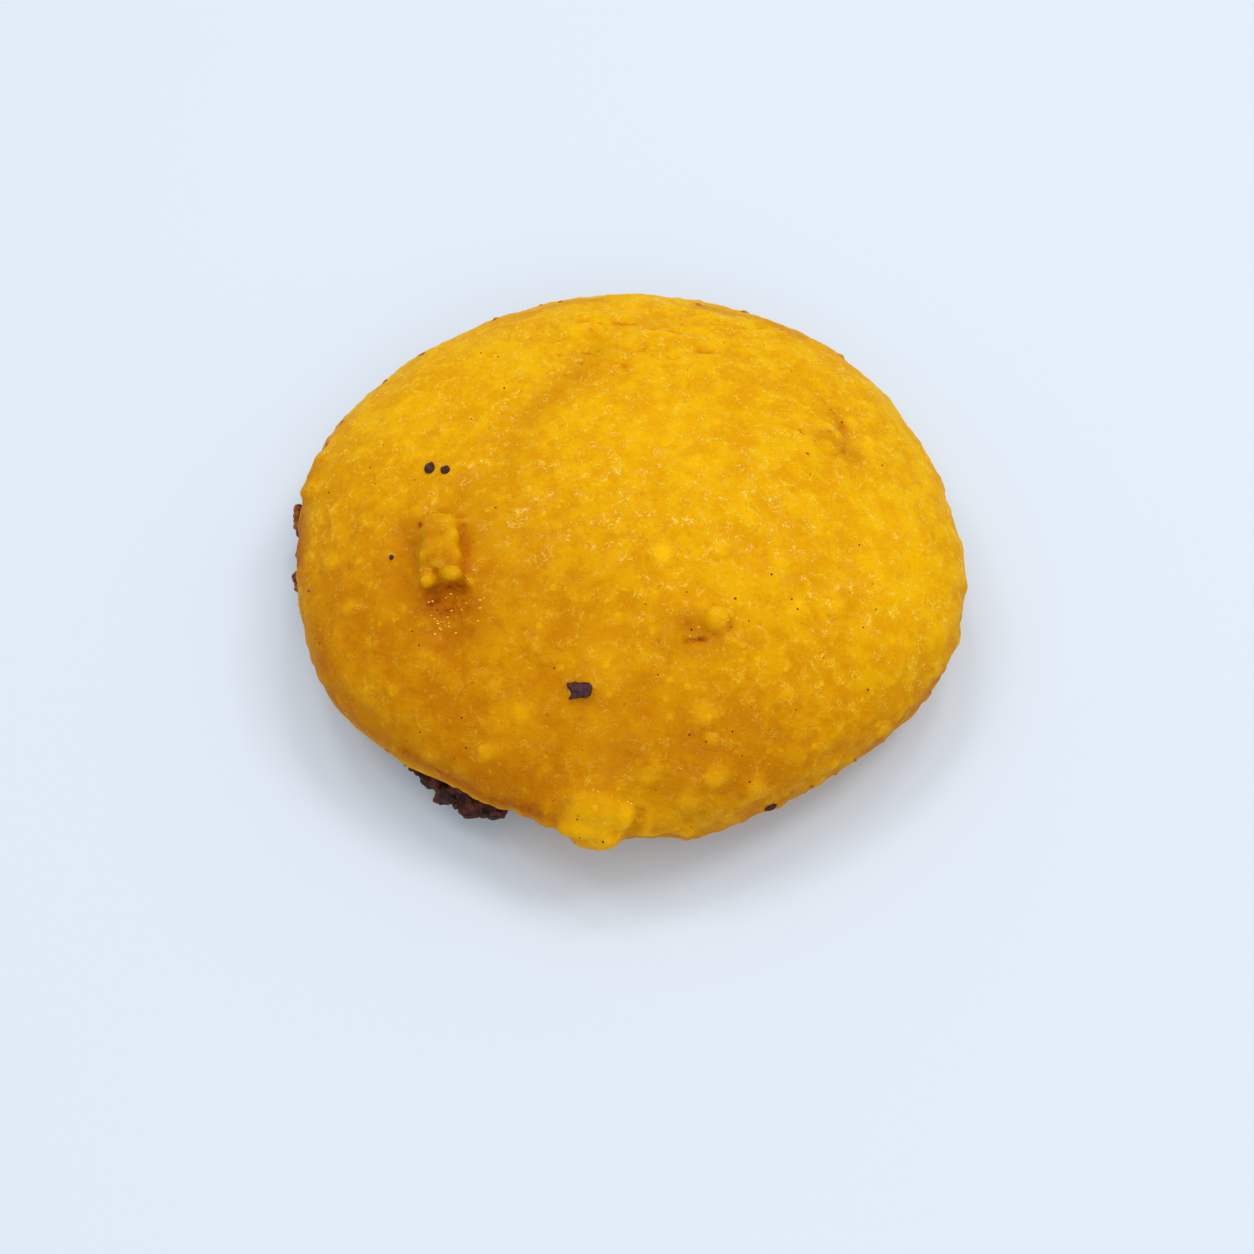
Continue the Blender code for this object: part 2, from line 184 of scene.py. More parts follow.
DOUGH_LOBES = [
    # (pixel, half width, half depth, half height in mm, sink in mm)
    # the knob and its crumbs
    ((441, 547), 3.6, 4.0, 2.3, 1.2), ((452, 537), 1.7, 2.1, 1.5, 0.0),
    ((442, 547), 1.8, 1.6, 1.2, -0.1), ((445, 522), 1.7, 1.2, 0.8, 0.5),
    ((449, 529), 1.9, 1.3, 0.9, 0.35), ((427, 534), 2.0, 2.8, 1.2, 0.5),
    ((433, 530), 1.4, 1.6, 1.1, 0.2), ((457, 554), 1.1, 2.2, 1.3, 0.3),
    ((425, 555), 1.5, 1.3, 1.2, 0.2), ((437, 565), 1.5, 0.8, 0.9, 0.1),
    ((451.5, 573.5), 1.9, 1.6, 2.0, -0.4), ((427, 582), 1.35, 1.25, 1.4, -0.2),
    ((470, 582.5), 1.2, 1.1, 1.1, 0.0),
    # the nub
    ((601, 812), 4.6, 3.4, 2.6, 1.7), ((623, 817), 2.6, 2.8, 2.4, 1.3),
    ((609, 841), 2.6, 2.2, 2.4, 1.2), ((582, 832), 3.2, 2.6, 2.4, 1.4),
    ((566, 828), 2.2, 2.0, 2.0, 0.9),
    # the flap
    ((720, 619), 2.6, 2.4, 1.2, 0.5), ((712, 625), 1.5, 1.5, 0.9, 0.35),
    ((697, 634.5), 1.9, 0.7, 0.8, 0.3),
    # the rough patch
    ((837, 436), 1.6, 1.2, 0.9, 0.2), ((851, 422), 1.4, 0.8, 0.8, 0.15),
    ((828, 445), 1.2, 0.8, 0.7, 0.1), ((830, 426), 1.0, 0.8, 0.7, 0.1),
    ((837, 450), 1.3, 0.7, 0.6, 0.1), ((868, 439), 1.2, 1.0, 0.7, 0.2),
]


def lie_on_skin(normal):
    """Gives the turn that lays a piece on the skin, its X to the right."""
    right = (Vector((1, 0, 0)) - normal * normal.x).normalized()
    return Matrix((right, normal.cross(right), normal)).transposed().to_euler()


SEAM_PINCHES = (
    # degrees round from +X, share of the radius, level in mm, half size in mm
    (153.0, 0.965, 9.0, (2.6, 4.2, 3.6)),
    (157.5, 0.965, 9.6, (2.4, 3.4, 2.0)),
    (157.0, 0.965, 6.6, (2.2, 3.0, 1.7)),
)
TORN_SEED = 12
TORN_LUMPS = 26
TORN_PIXELS = ((420, 514), (472, 626))
TORN_RADII = (0.6, 1.0)
TORN_SINK = 0.4
chance = random.Random(TORN_SEED)
for _ in range(TORN_LUMPS):
    pixel = tuple(map(chance.uniform, *TORN_PIXELS))
    radius = chance.uniform(*TORN_RADII)
    DOUGH_LOBES.append((pixel, radius, radius, radius, radius * TORN_SINK))

def make_ball(place, turn, half_size, subdivisions=3):
    """Makes one stretched ico sphere, with its half size in millimetres."""
    deselect_all()
    bpy.ops.mesh.primitive_ico_sphere_add(
        subdivisions=subdivisions,
        radius=1,
        location=place,
        rotation=turn,
        scale=[half * MM for half in half_size],
    )
    bpy.ops.object.transform_apply(location=True, rotation=True, scale=True)
    return bpy.context.active_object


OUTSIDE = 0.1


def side_place(tree, azimuth, level):
    """Gives the place on a side at a height, the normal and the way outward."""
    outward = Vector((math.cos(azimuth), math.sin(azimuth), 0))
    start = outward * OUTSIDE + Vector((0, 0, level))
    place, normal, _, _ = tree.ray_cast(start, -outward)
    return place, normal, outward


def join_pieces(name, parts):
    """Joins parts into the first one and names it."""
    choose(parts[0])
    for part in parts:
        part.select_set(True)
    bpy.ops.object.join()
    piece = bpy.context.active_object
    piece.name = name
    piece.data.name = name
    return piece


tree = skin_tree(crust)
lobes = []
for pixel, wide, deep, high, sink in DOUGH_LOBES:
    place, normal = seen_place(tree, *pixel)
    place -= normal * sink * MM
    lobes.append(make_ball(place, lie_on_skin(normal), (wide, deep, high)))
for degrees, share, level, half_size in SEAM_PINCHES:
    azimuth = math.radians(degrees)
    place, _, _ = side_place(tree, azimuth, level * MM)
    place = Vector((place.x * share, place.y * share, place.z))
    lobes.append(make_ball(place, (0, 0, azimuth), half_size))
crust = join_pieces("fried_crust", [crust, *lobes])
FINE_VOXEL = 0.55 * MM
finish_with(crust, "REMESH", mode="VOXEL", voxel_size=FINE_VOXEL)
finish_with(crust, "SMOOTH", factor=0.5, iterations=2)
print("crust with its lobes:", len(crust.data.vertices), "points")

# %% [markdown]
# Hollows, creases, wrinkles and blisters are pressed into the skin as with a
# fingertip: the points under a short line are chosen and moved along the
# skin's normal, and proportional editing takes their neighbours along. A
# height below zero presses in, one above zero raises. Each line is written
# as places in the picture, and lies on the crust where their rays meet it.

# %% Fingertip for hollows and ridges
LINE_STEP = 0.5 * MM


def along_line(places, step=LINE_STEP):
    """Fills a line of places with more places, one step apart."""
    filled = [places[0]]
    for start, end in zip(places, places[1:]):
        count = max(1, round((end - start).length / step))
        filled += [start.lerp(end, part / count) for part in range(1, count + 1)]
    return filled


def press(piece, touches):
    """Moves the skin at each touch: places, normal, height, reach and fall-off."""
    points = kdtree.KDTree(len(piece.data.vertices))
    for point in piece.data.vertices:
        points.insert(point.co, point.index)
    points.balance()
    choose(piece)
    bpy.ops.object.mode_set(mode="EDIT")
    bpy.ops.mesh.select_mode(type="VERT")
    for places, normal, height, reach, fall in touches:
        bpy.ops.mesh.select_all(action="DESELECT")
        mesh = bmesh.from_edit_mesh(piece.data)
        mesh.verts.ensure_lookup_table()
        for place in along_line(places):
            mesh.verts[points.find(place)[1]].select = True
        bpy.ops.transform.translate(
            value=normal * height * MM,
            use_proportional_edit=True,
            proportional_edit_falloff=fall,
            proportional_size=reach * MM,
        )
    bpy.ops.mesh.select_all(action="DESELECT")
    bpy.ops.object.mode_set(mode="OBJECT")


def touch_at(tree, pixels, height, reach, fall="SMOOTH"):
    """Turns a line of pixels into a touch of the skin."""
    found = [rim_place(tree, *pixel) for pixel in pixels]
    normal = sum((normal for _, normal in found), Vector()).normalized()
    return [place for place, _ in found], normal, height, reach, fall


# %% [markdown]
# The large marks of the skin are listed one by one, as the picture shows
# them. Blisters are round, so their touches fall off like a sphere. The
# small wrinkles at the rear, where the skin sagged as it cooled, are spread
# by seeded chance.

# %% Hollows, creases and wrinkles
HOLLOWS_AND_RIDGES = [
    # (line of pixels, height in mm, reach in mm)
    # pit, valleys and gaps round the knob, and the wrinkles under it
    (((434, 596), (448, 592), (462, 592)), -0.6, 3.2),
    (((434, 604), (438, 600)), -0.3, 1.8),
    (((461, 515), (465, 530), (467, 550), (467, 570)), -0.6, 2.3),
    (((430, 512), (444, 509), (458, 513)), -0.4, 1.8),
    (((411, 545), (415, 572)), -0.3, 2.4),
    (((436, 571), (438, 578), (438, 586)), -0.9, 1.3),
    (((464, 576), (464, 582)), -0.7, 1.0),
    (((436, 620), (450, 616), (468, 620)), 0.35, 2.6),
    (((428, 632), (448, 636), (470, 632)), -0.3, 1.8),
    # the dimple and the edges of the flap
    (((692, 625), (697, 632)), -0.6, 3.6),
    (((686.5, 642), (693, 640.3), (705, 640.3)), -0.6, 1.1),
    (((731, 622), (731, 629)), -0.3, 1.2), (((722, 635), (713, 635)), -0.25, 1.2),
    (((730, 640), (743, 645)), 0.25, 1.2),
    # the rough patch
    (((843, 424), (845, 436), (846, 450)), -0.4, 1.7),
    (((800, 429), (803, 434)), -0.5, 1.0), (((806, 452), (809, 456)), -0.4, 0.9),
    # wrinkles and ridges at the rear, the fold at the right and the shallow band
    (((614, 322), (650, 319), (684, 324)), -0.35, 1.9),
    (((588, 337), (622, 335), (660, 338)), -0.4, 2.0),
    (((572, 330), (592, 327), (612, 329)), 0.4, 1.6),
    (((640, 349), (676, 344), (712, 352)), -0.35, 2.2),
    (((670, 309), (700, 312), (728, 321)), 0.35, 2.0),
    (((770, 352), (800, 374), (822, 398)), -0.4, 3.0),
    (((592, 352), (560, 384), (534, 416)), -0.3, 5.5),
    # creases of the nub, and the rim beside it
    (((641, 812), (638, 824), (628, 836)), -0.7, 2.0),
    (((590, 789), (612, 792), (636, 804)), -0.45, 1.6),
    (((566, 802), (558, 810), (553, 821)), -0.45, 2.0),
    (((576, 822), (588, 819), (603, 821)), -0.2, 1.1),
    (((630, 856), (644, 856), (664, 854)), -1.2, 5.0),
    (((518, 836), (532, 842), (546, 846)), -2.3, 5.5),
    # shoulder and pleat at the left
    (((318, 462), (311, 476), (306, 488)), 1.5, 4.5),
    (((356, 706), (380, 728), (408, 750)), -0.3, 3.0),
]
BLISTERS = (
    # (pixel, height in mm, reach in mm)
    ((664, 553), 0.47, 2.9), ((719, 547), 0.34, 2.4), ((748, 519), 0.34, 2.4),
    ((694, 464), 0.27, 2.4), ((619, 527), 0.27, 2.2), ((779, 559), 0.34, 2.4),
    ((801, 609), 0.34, 2.6), ((835, 606), 0.27, 2.2), ((717, 774), 0.45, 3.9),
    ((755, 789), 0.4, 3.5), ((688, 803), 0.38, 2.7), ((649, 773), 0.34, 2.8),
    ((708, 712), 0.47, 2.9), ((788, 696), 0.34, 2.8), ((711, 739), 0.47, 1.8),
    ((883, 728), 0.47, 2.2), ((350, 609), 0.41, 2.0), ((394, 690), 0.41, 2.0),
    ((522, 713), 0.34, 2.6), ((487, 752), 0.3, 2.4), ((332, 560), 0.41, 3.2),
)
WRINKLE_SEED = 5
WRINKLES = 22
WRINKLE_PIXELS = ((556, 306), (770, 362))
WRINKLE_HALF_LENGTHS = (9, 20)
WRINKLE_HEIGHTS = (-0.42, 0.38)
WRINKLE_REACHES = (1.6, 2.4)
WRINKLE_SAG = 0.12
chance = random.Random(WRINKLE_SEED)
for _ in range(WRINKLES):
    x, y = map(chance.uniform, *WRINKLE_PIXELS)
    y += abs(x - CAKE_MIDDLE[0]) * WRINKLE_SAG
    half = chance.uniform(*WRINKLE_HALF_LENGTHS)
    tilt = chance.uniform(-3, 3)
    line = ((x - half, y + tilt), (x, y - chance.uniform(0, 3)), (x + half, y - tilt))
    height = chance.choice(WRINKLE_HEIGHTS)
    HOLLOWS_AND_RIDGES.append((line, height, chance.uniform(*WRINKLE_REACHES)))

tree = skin_tree(crust)
touches = [touch_at(tree, *row) for row in HOLLOWS_AND_RIDGES]
blister_places = []
for pixel, height, reach in BLISTERS:
    touch = touch_at(tree, [pixel], height, reach, "SPHERE")
    touches.append(touch)
    blister_places.append((touch[0][0], reach * MM))
press(crust, touches)
print(len(touches), "touches")

# %% [markdown]
# Hot oil leaves no patch of the skin smooth. Long soft waves come from the
# hands, small mounds from steam under the skin, and a fine grain from the
# ground corn. Displace modifiers with cloud and cell textures give all
# three. Groups of points hold them back: the pocket round the meat stays as
# the solid has it, and the seat that the cake rests on only gets shallow
# dents inwards, so that it still lies flat.

# %% Choose the open skin
POCKET_LEVELS = (1 * MM, 17 * MM)
POCKET_REACH = 16 * MM
OFF_SKIN = 0.1 * MM
SEAT_FADE = (0.2 * MM, 3.0 * MM)
RIM_NORMALS = (0.80, 0.45)
FRONT_Y = (-8 * MM, -32 * MM)
REAR_SHARE = 0.35


def rise(value, low, high):
    """Goes smoothly from 0 at low to 1 at high."""
    share = min(1, max(0, (value - low) / (high - low)))
    return share * share * (3 - 2 * share)


def hidden_in_pocket(tree, point, normal):
    """Tells whether the cake's own dough faces a point at a short distance."""
    if not POCKET_LEVELS[0] < point.z < POCKET_LEVELS[1]:
        return False
    start = point + normal * OFF_SKIN
    return tree.ray_cast(start, normal, POCKET_REACH)[0] is not None


def weigh(piece, name, weights):
    """Adds a group of points with one weight for each point."""
    group = piece.vertex_groups.new(name=name)
    for index, weight in enumerate(weights):
        group.add([index], weight, "REPLACE")


tree = skin_tree(crust)
points = crust.data.vertices
in_pocket = [hidden_in_pocket(tree, point.co, point.normal) for point in points]
open_skin = [
    0 if hidden else rise(point.co.z, *SEAT_FADE)
    for point, hidden in zip(points, in_pocket)
]
rim_skin = [
    weight * rise(point.normal.z, *RIM_NORMALS)
    for point, weight in zip(points, open_skin)
]
front_skin = [
    weight * (REAR_SHARE + (1 - REAR_SHARE) * rise(point.co.y, *FRONT_Y))
    for point, weight in zip(points, open_skin)
]
seat_skin = [
    0 if hidden else 1 - rise(point.co.z, *SEAT_FADE)
    for point, hidden in zip(points, in_pocket)
]
weigh(crust, "outside", [0 if hidden else 1 for hidden in in_pocket])
weigh(crust, "skin", open_skin)
weigh(crust, "seat", seat_skin)
weigh(crust, "rim", rim_skin)
weigh(crust, "front", front_skin)
print("points in the pocket:", sum(in_pocket), "of", len(points))

# %% [markdown]
# Each texture moves the skin along its normals. A cloud has the mid level
# 0.5 and moves it both ways. Domes come from cells: a colour ramp turns the
# distance from a cell's middle into a round mound, which only rises.

# %% Wave, blister and grain the skin
def cloud(name, size, depth=1):
    """Makes a cloud texture whose lumps are size millimetres wide."""
    texture = bpy.data.textures.new(name, "CLOUDS")
    texture.noise_scale = size * MM
    texture.noise_depth = depth
    return texture


def cells(name, size, dome=None):
    """Makes a cell texture, low in each cell's middle, or a dome where asked."""
    texture = bpy.data.textures.new(name, "VORONOI")
    texture.noise_scale = size * MM
    if dome:
        texture.use_color_ramp = True
        ramp = texture.color_ramp
        ramp.interpolation = "EASE"
        ramp.elements[0].position = 0
        ramp.elements[0].color = (1, 1, 1, 1)
        ramp.elements[1].position = dome
        ramp.elements[1].color = (0, 0, 0, 1)
    return texture


def displace(piece, texture, height, group, middle=0.5):
    """Moves the skin along its normals by a texture, height in millimetres."""
    finish_with(
        piece,
        "DISPLACE",
        texture=texture,
        texture_coords="LOCAL",
        strength=height * MM,
        mid_level=middle,
        vertex_group=group,
    )


displace(crust, cloud("hand waves", 13, 2), 1.1, "skin")
displace(crust, cells("steam mounds", 7.5, dome=0.45), 0.6, "front", middle=0)
displace(crust, cloud("dough lumps", 4.2, 2), 0.5, "skin")
displace(crust, cells("rim blisters", 4.2, dome=0.5), 0.32, "rim", middle=0)
displace(crust, cloud("corn grain", 1.5, 1), 0.28, "skin")
displace(crust, cloud("seat dents", 7, 3), 0.5, "seat", middle=1)
print("crust height:", max(point.co.z for point in crust.data.vertices))

# %% [markdown]
# The remesh gives the pocket's walls as many points as the open crust. No
# one sees them, so a decimate modifier takes its points there first.

# %% Thin out the hidden points
CRUST_TRIANGLES = 194000


def triangles(piece):
    """Counts the triangles that a piece's faces make."""
    return sum(len(face.vertices) - 2 for face in piece.data.polygons)


finish_with(
    crust,
    "DECIMATE",
    ratio=CRUST_TRIANGLES / triangles(crust),
    vertex_group="outside",
    invert_vertex_group=True,
)


def smooth_out(piece, edge=None):
    """Shades a piece smooth, but for edges sharper than an angle in degrees."""
    choose(piece)
    if edge is None:
        bpy.ops.object.shade_smooth()
    else:
        bpy.ops.object.shade_smooth_by_angle(angle=math.radians(edge))


smooth_out(crust)
print("crust:", triangles(crust), "triangles")

# %% [markdown]
# Fried dough browns where it is thin, low or torn, and stays pale where steam
# lifted it. Some zones of browning are painted shade, on the sides of the
# knob and on the front slope, and some pale zones are painted light, on the
# nub, the knob, the crown and the lumps of the rough patch, with a painted
# highlight along the lip of the seam. Five numbers are kept with each point of
# the skin for the crust's material: how far it stands above a much smoothed
# skin, how far above a little smoothed one, how browned and shaded, how pale
# and lit, and how blistered it is.

# %% Note relief, browned and shaded zones, pale and lit zones on the skin
BROWNED_AND_SHADED_ZONES = (
    # Browned zones; the broad ones on the sides of the knob and on the front and left slopes are
    # painted shade.
    # (line of pixels, radius in mm, strength)
    (((434, 592), (448, 590), (462, 590)), 3.8, 0.66),
    (((444, 587), (458, 585)), 1.8, 0.82), (((432, 603), (438, 600)), 1.6, 0.8),
    (((432, 606), (450, 610), (466, 608)), 6.5, 0.64),
    (((436, 628), (450, 632), (466, 628)), 7.0, 0.44), (((422, 592), (424, 608)), 3.2, 0.5),
    (((463, 526), (466, 550), (465, 576)), 2.0, 0.52),
    (((441, 512.5), (446, 513.5)), 0.7, 0.6), (((440, 511), (455, 513)), 1.8, 0.3),
    (((470, 496), (480, 540), (474, 584)), 7.0, 0.24),
    (((410, 530), (410, 560), (414, 590)), 5.0, 0.4), (((430, 530), (446, 560)), 5.0, 0.36),
    (((419, 523.5), (421, 526)), 0.9, 0.95), (((687, 641.5), (693, 640)), 0.7, 0.6),
    (((699, 639), (704, 640)), 0.75, 0.9), (((688, 622), (698, 632)), 3.8, 0.42),
    (((731, 624), (722, 634), (712, 635)), 1.6, 0.3), (((676, 640), (720, 643)), 5.0, 0.28),
    (((824, 436), (834, 440), (852, 456)), 3.6, 0.34),
    (((834, 414), (840, 424), (844, 436)), 2.4, 0.36), (((829, 431), (831, 432)), 0.8, 0.6),
    (((840, 427), (842, 428)), 0.8, 0.5), (((842, 451), (844, 453)), 0.8, 0.6),
    (((600, 352), (566, 384), (542, 404), (526, 424)), 5.0, 0.27),
    (((520, 440), (508, 470)), 7.0, 0.16),
    (((402, 752), (437, 770), (472, 789), (512, 805), (540, 814)), 3.8, 0.6),
    (((430, 750), (490, 775), (540, 797)), 7.0, 0.3),
    (((325, 690), (350, 716), (390, 744)), 3.2, 0.4),
    (((560, 806), (554, 816), (548, 826)), 3.6, 0.4),
    (((640, 812), (638, 824), (629, 838)), 2.2, 0.36), (((298, 520), (298, 560)), 4.0, 0.6),
    (((318, 650), (350, 708), (400, 750)), 6.0, 0.36), (((306, 470), (300, 500)), 4.0, 0.3),
    (((520, 316), (560, 304), (600, 300)), 3.0, 0.25),
    (((700, 306), (745, 316), (800, 336)), 3.4, 0.35),
    (((640, 842), (700, 838), (780, 815)), 4.0, 0.3),
    (((830, 785), (900, 730), (940, 680)), 3.6, 0.22),
    (((540, 720), (640, 745), (740, 752)), 18.0, 0.2),
    (((360, 600), (400, 680), (470, 730)), 18.0, 0.16),
    (((480, 560), (560, 620)), 14.0, 0.12),
)
# Pale zones; the ones on the nub, the knob, the crown and the small lumps of the rough patch are
# painted light.
PALE_AND_LIT_ZONES = (
    (((594, 652), (606, 672)), 6.5, 0.4), (((500, 728), (512, 714), (532, 706)), 3.8, 0.34),
    (((480, 757), (496, 742), (514, 738)), 3.2, 0.28), (((590, 724), (602, 720)), 3.0, 0.4),
    (((400, 430), (430, 400)), 7.0, 0.25), (((640, 440), (664, 430)), 12.0, 0.3),
    (((880, 540), (890, 580)), 12.0, 0.3), (((700, 560), (740, 590)), 14.0, 0.2),
    (((731, 639), (743, 645)), 0.9, 0.5), (((576, 329), (600, 327)), 1.4, 0.5),
    (((850, 420), (854, 424)), 1.7, 0.95), (((827, 443), (830, 447)), 1.4, 0.9),
    (((836, 434), (838, 438)), 1.3, 0.9), (((829, 424), (831, 427)), 1.1, 0.9),
    (((867, 437), (870, 442)), 1.5, 0.8), (((866, 444), (872, 453)), 0.8, 0.8),
    (((804, 420), (810, 430)), 3.0, 0.35), (((580, 820), (600, 830), (622, 816)), 6.5, 1.0),
    (((440, 540), (450, 545)), 3.0, 0.6), (((664, 552), (664, 555)), 2.6, 0.8),
    (((690, 604), (740, 596)), 6.0, 0.25), (((452, 574), (452, 577)), 1.8, 0.4),
    (((427, 580), (427, 583)), 1.5, 0.4), (((471, 583), (471, 586)), 1.3, 0.5),
    (((718, 616), (720, 624)), 2.4, 0.45),
)
# Painted highlight: a thin pale line along the lip of the seam, above the meat.
LIP_LINE = (
    (380, 745), (404, 762), (437, 779), (472, 798), (512, 813.5), (559, 827.5),
)
LIP_RADIUS = 0.55
LIP_HIGHLIGHT = 0.4
BLISTER_PALENESS = 0.8
BLISTER_SHARE = 1.15
ZONE_STEP = 0.35
RELIEF_ROUNDS = 40
RELIEF_UNIT = 0.5 * MM
CREASE_ROUNDS = 8
CREASE_UNIT = 0.15 * MM


def note(piece, name, values):
    """Keeps one number with each point of a piece."""
    layer = piece.data.attributes.new(name, "FLOAT", "POINT")
    layer.data.foreach_set("value", np.asarray(values, dtype=np.float32))


def points_of(piece, kind="co"):
    """Gives the places, or another vector, of a piece's points as an array."""
    flat = np.empty(len(piece.data.vertices) * 3, dtype=np.float32)
    piece.data.vertices.foreach_get(kind, flat)
    return flat.reshape(-1, 3)


def relief_of(piece, rounds=RELIEF_ROUNDS):
    """Measures how far each point stands above the smoothed skin."""
    choose(piece)
    bpy.ops.object.duplicate()
    smoothed = bpy.context.active_object
    finish_with(smoothed, "SMOOTH", factor=0.5, iterations=rounds)
    lift = points_of(piece) - points_of(smoothed)
    height = np.einsum("ij,ij->i", lift, points_of(smoothed, "normal"))
    bpy.data.meshes.remove(smoothed.data)
    return height


def zones_on(piece, zones):
    """Gives each point the strength of the strongest soft round zone there."""
    points = points_of(piece)
    total = np.zeros(len(points))
    for place, radius, strength in zones:
        away = np.linalg.norm(points - np.array(place), axis=1) / radius
        total = np.maximum(total, strength * np.exp(-2 * away * away))
    return total


relief = relief_of(crust)
tree = skin_tree(crust)


def seen_zones(table):
    """Puts a table of zones, written as lines of pixels, onto the crust."""
    found = []
    for pixels, radius, strength in table:
        places = [rim_place(tree, *pixel)[0] for pixel in pixels]
        for place in along_line(places, step=radius * ZONE_STEP * MM):
            found.append((place, radius * MM, strength))
    return found


pale_blisters = [
    (place, reach * BLISTER_SHARE, BLISTER_PALENESS) for place, reach in blister_places
]
lip_highlight = seen_zones([(LIP_LINE, LIP_RADIUS, LIP_HIGHLIGHT)])
note(crust, "relief", relief / RELIEF_UNIT)
note(crust, "crease", relief_of(crust, CREASE_ROUNDS) / CREASE_UNIT)
note(crust, "browning_and_shade", zones_on(crust, seen_zones(BROWNED_AND_SHADED_ZONES)))
pale_and_lit_places = seen_zones(PALE_AND_LIT_ZONES) + lip_highlight
note(crust, "paleness_and_light", zones_on(crust, pale_and_lit_places))
note(crust, "blister", zones_on(crust, pale_blisters))
print("relief in mm:", relief.min() / MM, relief.max() / MM)

# %% [markdown]
# The filling is minced meat, dark and crumbly, that shows where the dough
# burst at the left and front left of the rim. It starts as a copy of the
# packed slab, and cells with creases between them turn its open edge to
# crumbs. The part inside the pocket is left plain, because no one sees it.

# %% Crumble the filling
MEAT_VOXEL = 0.45 * MM
MEAT_TRIANGLES = 90000
filling = copy_of_solid("filling", "minced_filling")
finish_with(filling, "REMESH", mode="VOXEL", voxel_size=MEAT_VOXEL)
finish_with(filling, "SMOOTH", factor=0.5, iterations=3)
EDGE_SHARE = (0.80, 0.86)
half_wide = max(abs(point.co.x) for point in filling.data.vertices)
half_deep = max(abs(point.co.y) for point in filling.data.vertices)
weigh(
    filling,
    "edge",
    [
        rise(math.hypot(point.co.x / half_wide, point.co.y / half_deep), *EDGE_SHARE)
        for point in filling.data.vertices
    ],
)
displace(filling, cells("meat crumbs", 2.3), -0.9, "edge", middle=0.45)
displace(filling, cloud("meat grain", 0.9, 2), 0.5, "edge")
finish_with(filling, "DECIMATE", ratio=min(1, MEAT_TRIANGLES / triangles(filling)))
smooth_out(filling)
print("filling:", triangles(filling), "triangles")

# %% [markdown]
# Charred crumbs from earlier batches float in the oil and settle on the
# crust. The largest is a flat flake with a notch in its left end. It is a
# cylinder's disc, pressed to its outline, with its edges bevelled.

# %% Shape the large charred flake
FLAKE_PIXEL = (579.5, 690.5)
FLAKE_OUTLINE = (
    # millimetres right of and away from the flake's middle
    (-2.35, 1.45), (-1.2, 1.62), (0.6, 1.45), (1.9, 1.38), (2.4, 0.2), (2.05, -0.9),
    (1.2, -1.42), (-0.6, -1.38), (-2.0, -1.5), (-1.55, -0.45), (-1.75, 0.2), (-2.4, 0.75),
)
FLAKE_THICKNESS = 0.75 * MM
FLAKE_BEVEL = 0.22 * MM


def put_on_skin(piece, place, normal):
    """Lays a piece made at the origin on the skin, and applies its place."""
    choose(piece)
    piece.rotation_euler = lie_on_skin(normal)
    piece.location = place
    bpy.ops.object.transform_apply(location=True, rotation=True, scale=True)


tree = skin_tree(crust)
deselect_all()
bpy.ops.mesh.primitive_cylinder_add(
    vertices=len(FLAKE_OUTLINE), radius=1, depth=FLAKE_THICKNESS
)
flake = bpy.context.active_object
flake.name = "charred_flake"
for point in flake.data.vertices:
    turn = math.atan2(point.co.x, point.co.y) / math.tau * len(FLAKE_OUTLINE)
    corner = FLAKE_OUTLINE[round(turn) % len(FLAKE_OUTLINE)]
    point.co.x = corner[0] * MM
    point.co.y = corner[1] * MM
bpy.ops.object.mode_set(mode="EDIT")
bpy.ops.mesh.select_all(action="SELECT")
bpy.ops.mesh.bevel(offset=FLAKE_BEVEL, segments=2, affect="EDGES")
bpy.ops.mesh.quads_convert_to_tris()
bpy.ops.mesh.subdivide(number_cuts=2)
bpy.ops.mesh.normals_make_consistent(inside=False)
bpy.ops.object.mode_set(mode="OBJECT")
displace(flake, cloud("flake crumple", 0.9, 1), 0.35, "")
put_on_skin(flake, *seen_place(tree, *FLAKE_PIXEL))
smooth_out(flake, edge=35)
print("flake:", triangles(flake), "triangles")

# %% [markdown]
# Smaller charred crumbs look like seeds. Two lie beside each other, one on
# the left slope and one at the rim. A seed is an ico sphere whose far points
# are drawn together.

# %% Shape the charred seeds
SEED_TAPER = 0.45
SEED_LIFT = 0.3
SEEDS = {
    # name: (pixel, half width, half length, half height in mm, turn in degrees)
    "left of the pair": ((430, 468), 1.0, 1.5, 0.65, -12),
    "right of the pair": ((445.5, 470), 0.98, 1.05, 0.6, -20),
    "left slope": ((391.3, 557.4), 0.42, 0.65, 0.35, 0),
    "rim": ((770, 806.5), 1.25, 0.75, 0.6, 18),
}


def make_seed(name, place, normal, half_size, turn):
    """Makes one charred seed, drawn to a point at its far end, on the skin."""
    deselect_all()
    bpy.ops.mesh.primitive_ico_sphere_add(subdivisions=3, radius=1)
    seed = bpy.context.active_object
    seed.name = name
    for point in seed.data.vertices:
        narrow = 1 - SEED_TAPER * rise(point.co.y, 0.1, 1.0)
        point.co.x *= narrow
        point.co.z *= narrow
    seed.scale = [half * MM for half in half_size]
    seed.rotation_euler = (0, 0, math.radians(turn))
    bpy.ops.object.transform_apply(location=False, rotation=True, scale=True)
    put_on_skin(seed, place + normal * half_size[2] * SEED_LIFT * MM, normal)
    return seed


seeds = []
for name, (pixel, wide, long, high, turn) in SEEDS.items():
    place, normal = rim_place(tree, *pixel)
    seeds.append(make_seed(name, place, normal, (wide, long, high), turn))
seeds = join_pieces("charred_seeds", seeds)
displace(seeds, cloud("seed crumple", 0.7, 1), 0.3, "")
smooth_out(seeds, edge=40)
print("seeds:", triangles(seeds), "triangles")

# %% [markdown]
# Charred dust is as fine as pepper. The specks that the picture shows are
# placed one by one, and as many again are spread over the sides and the
# underside, which it doesn't show. Each is a flat ico sphere of 20 faces.

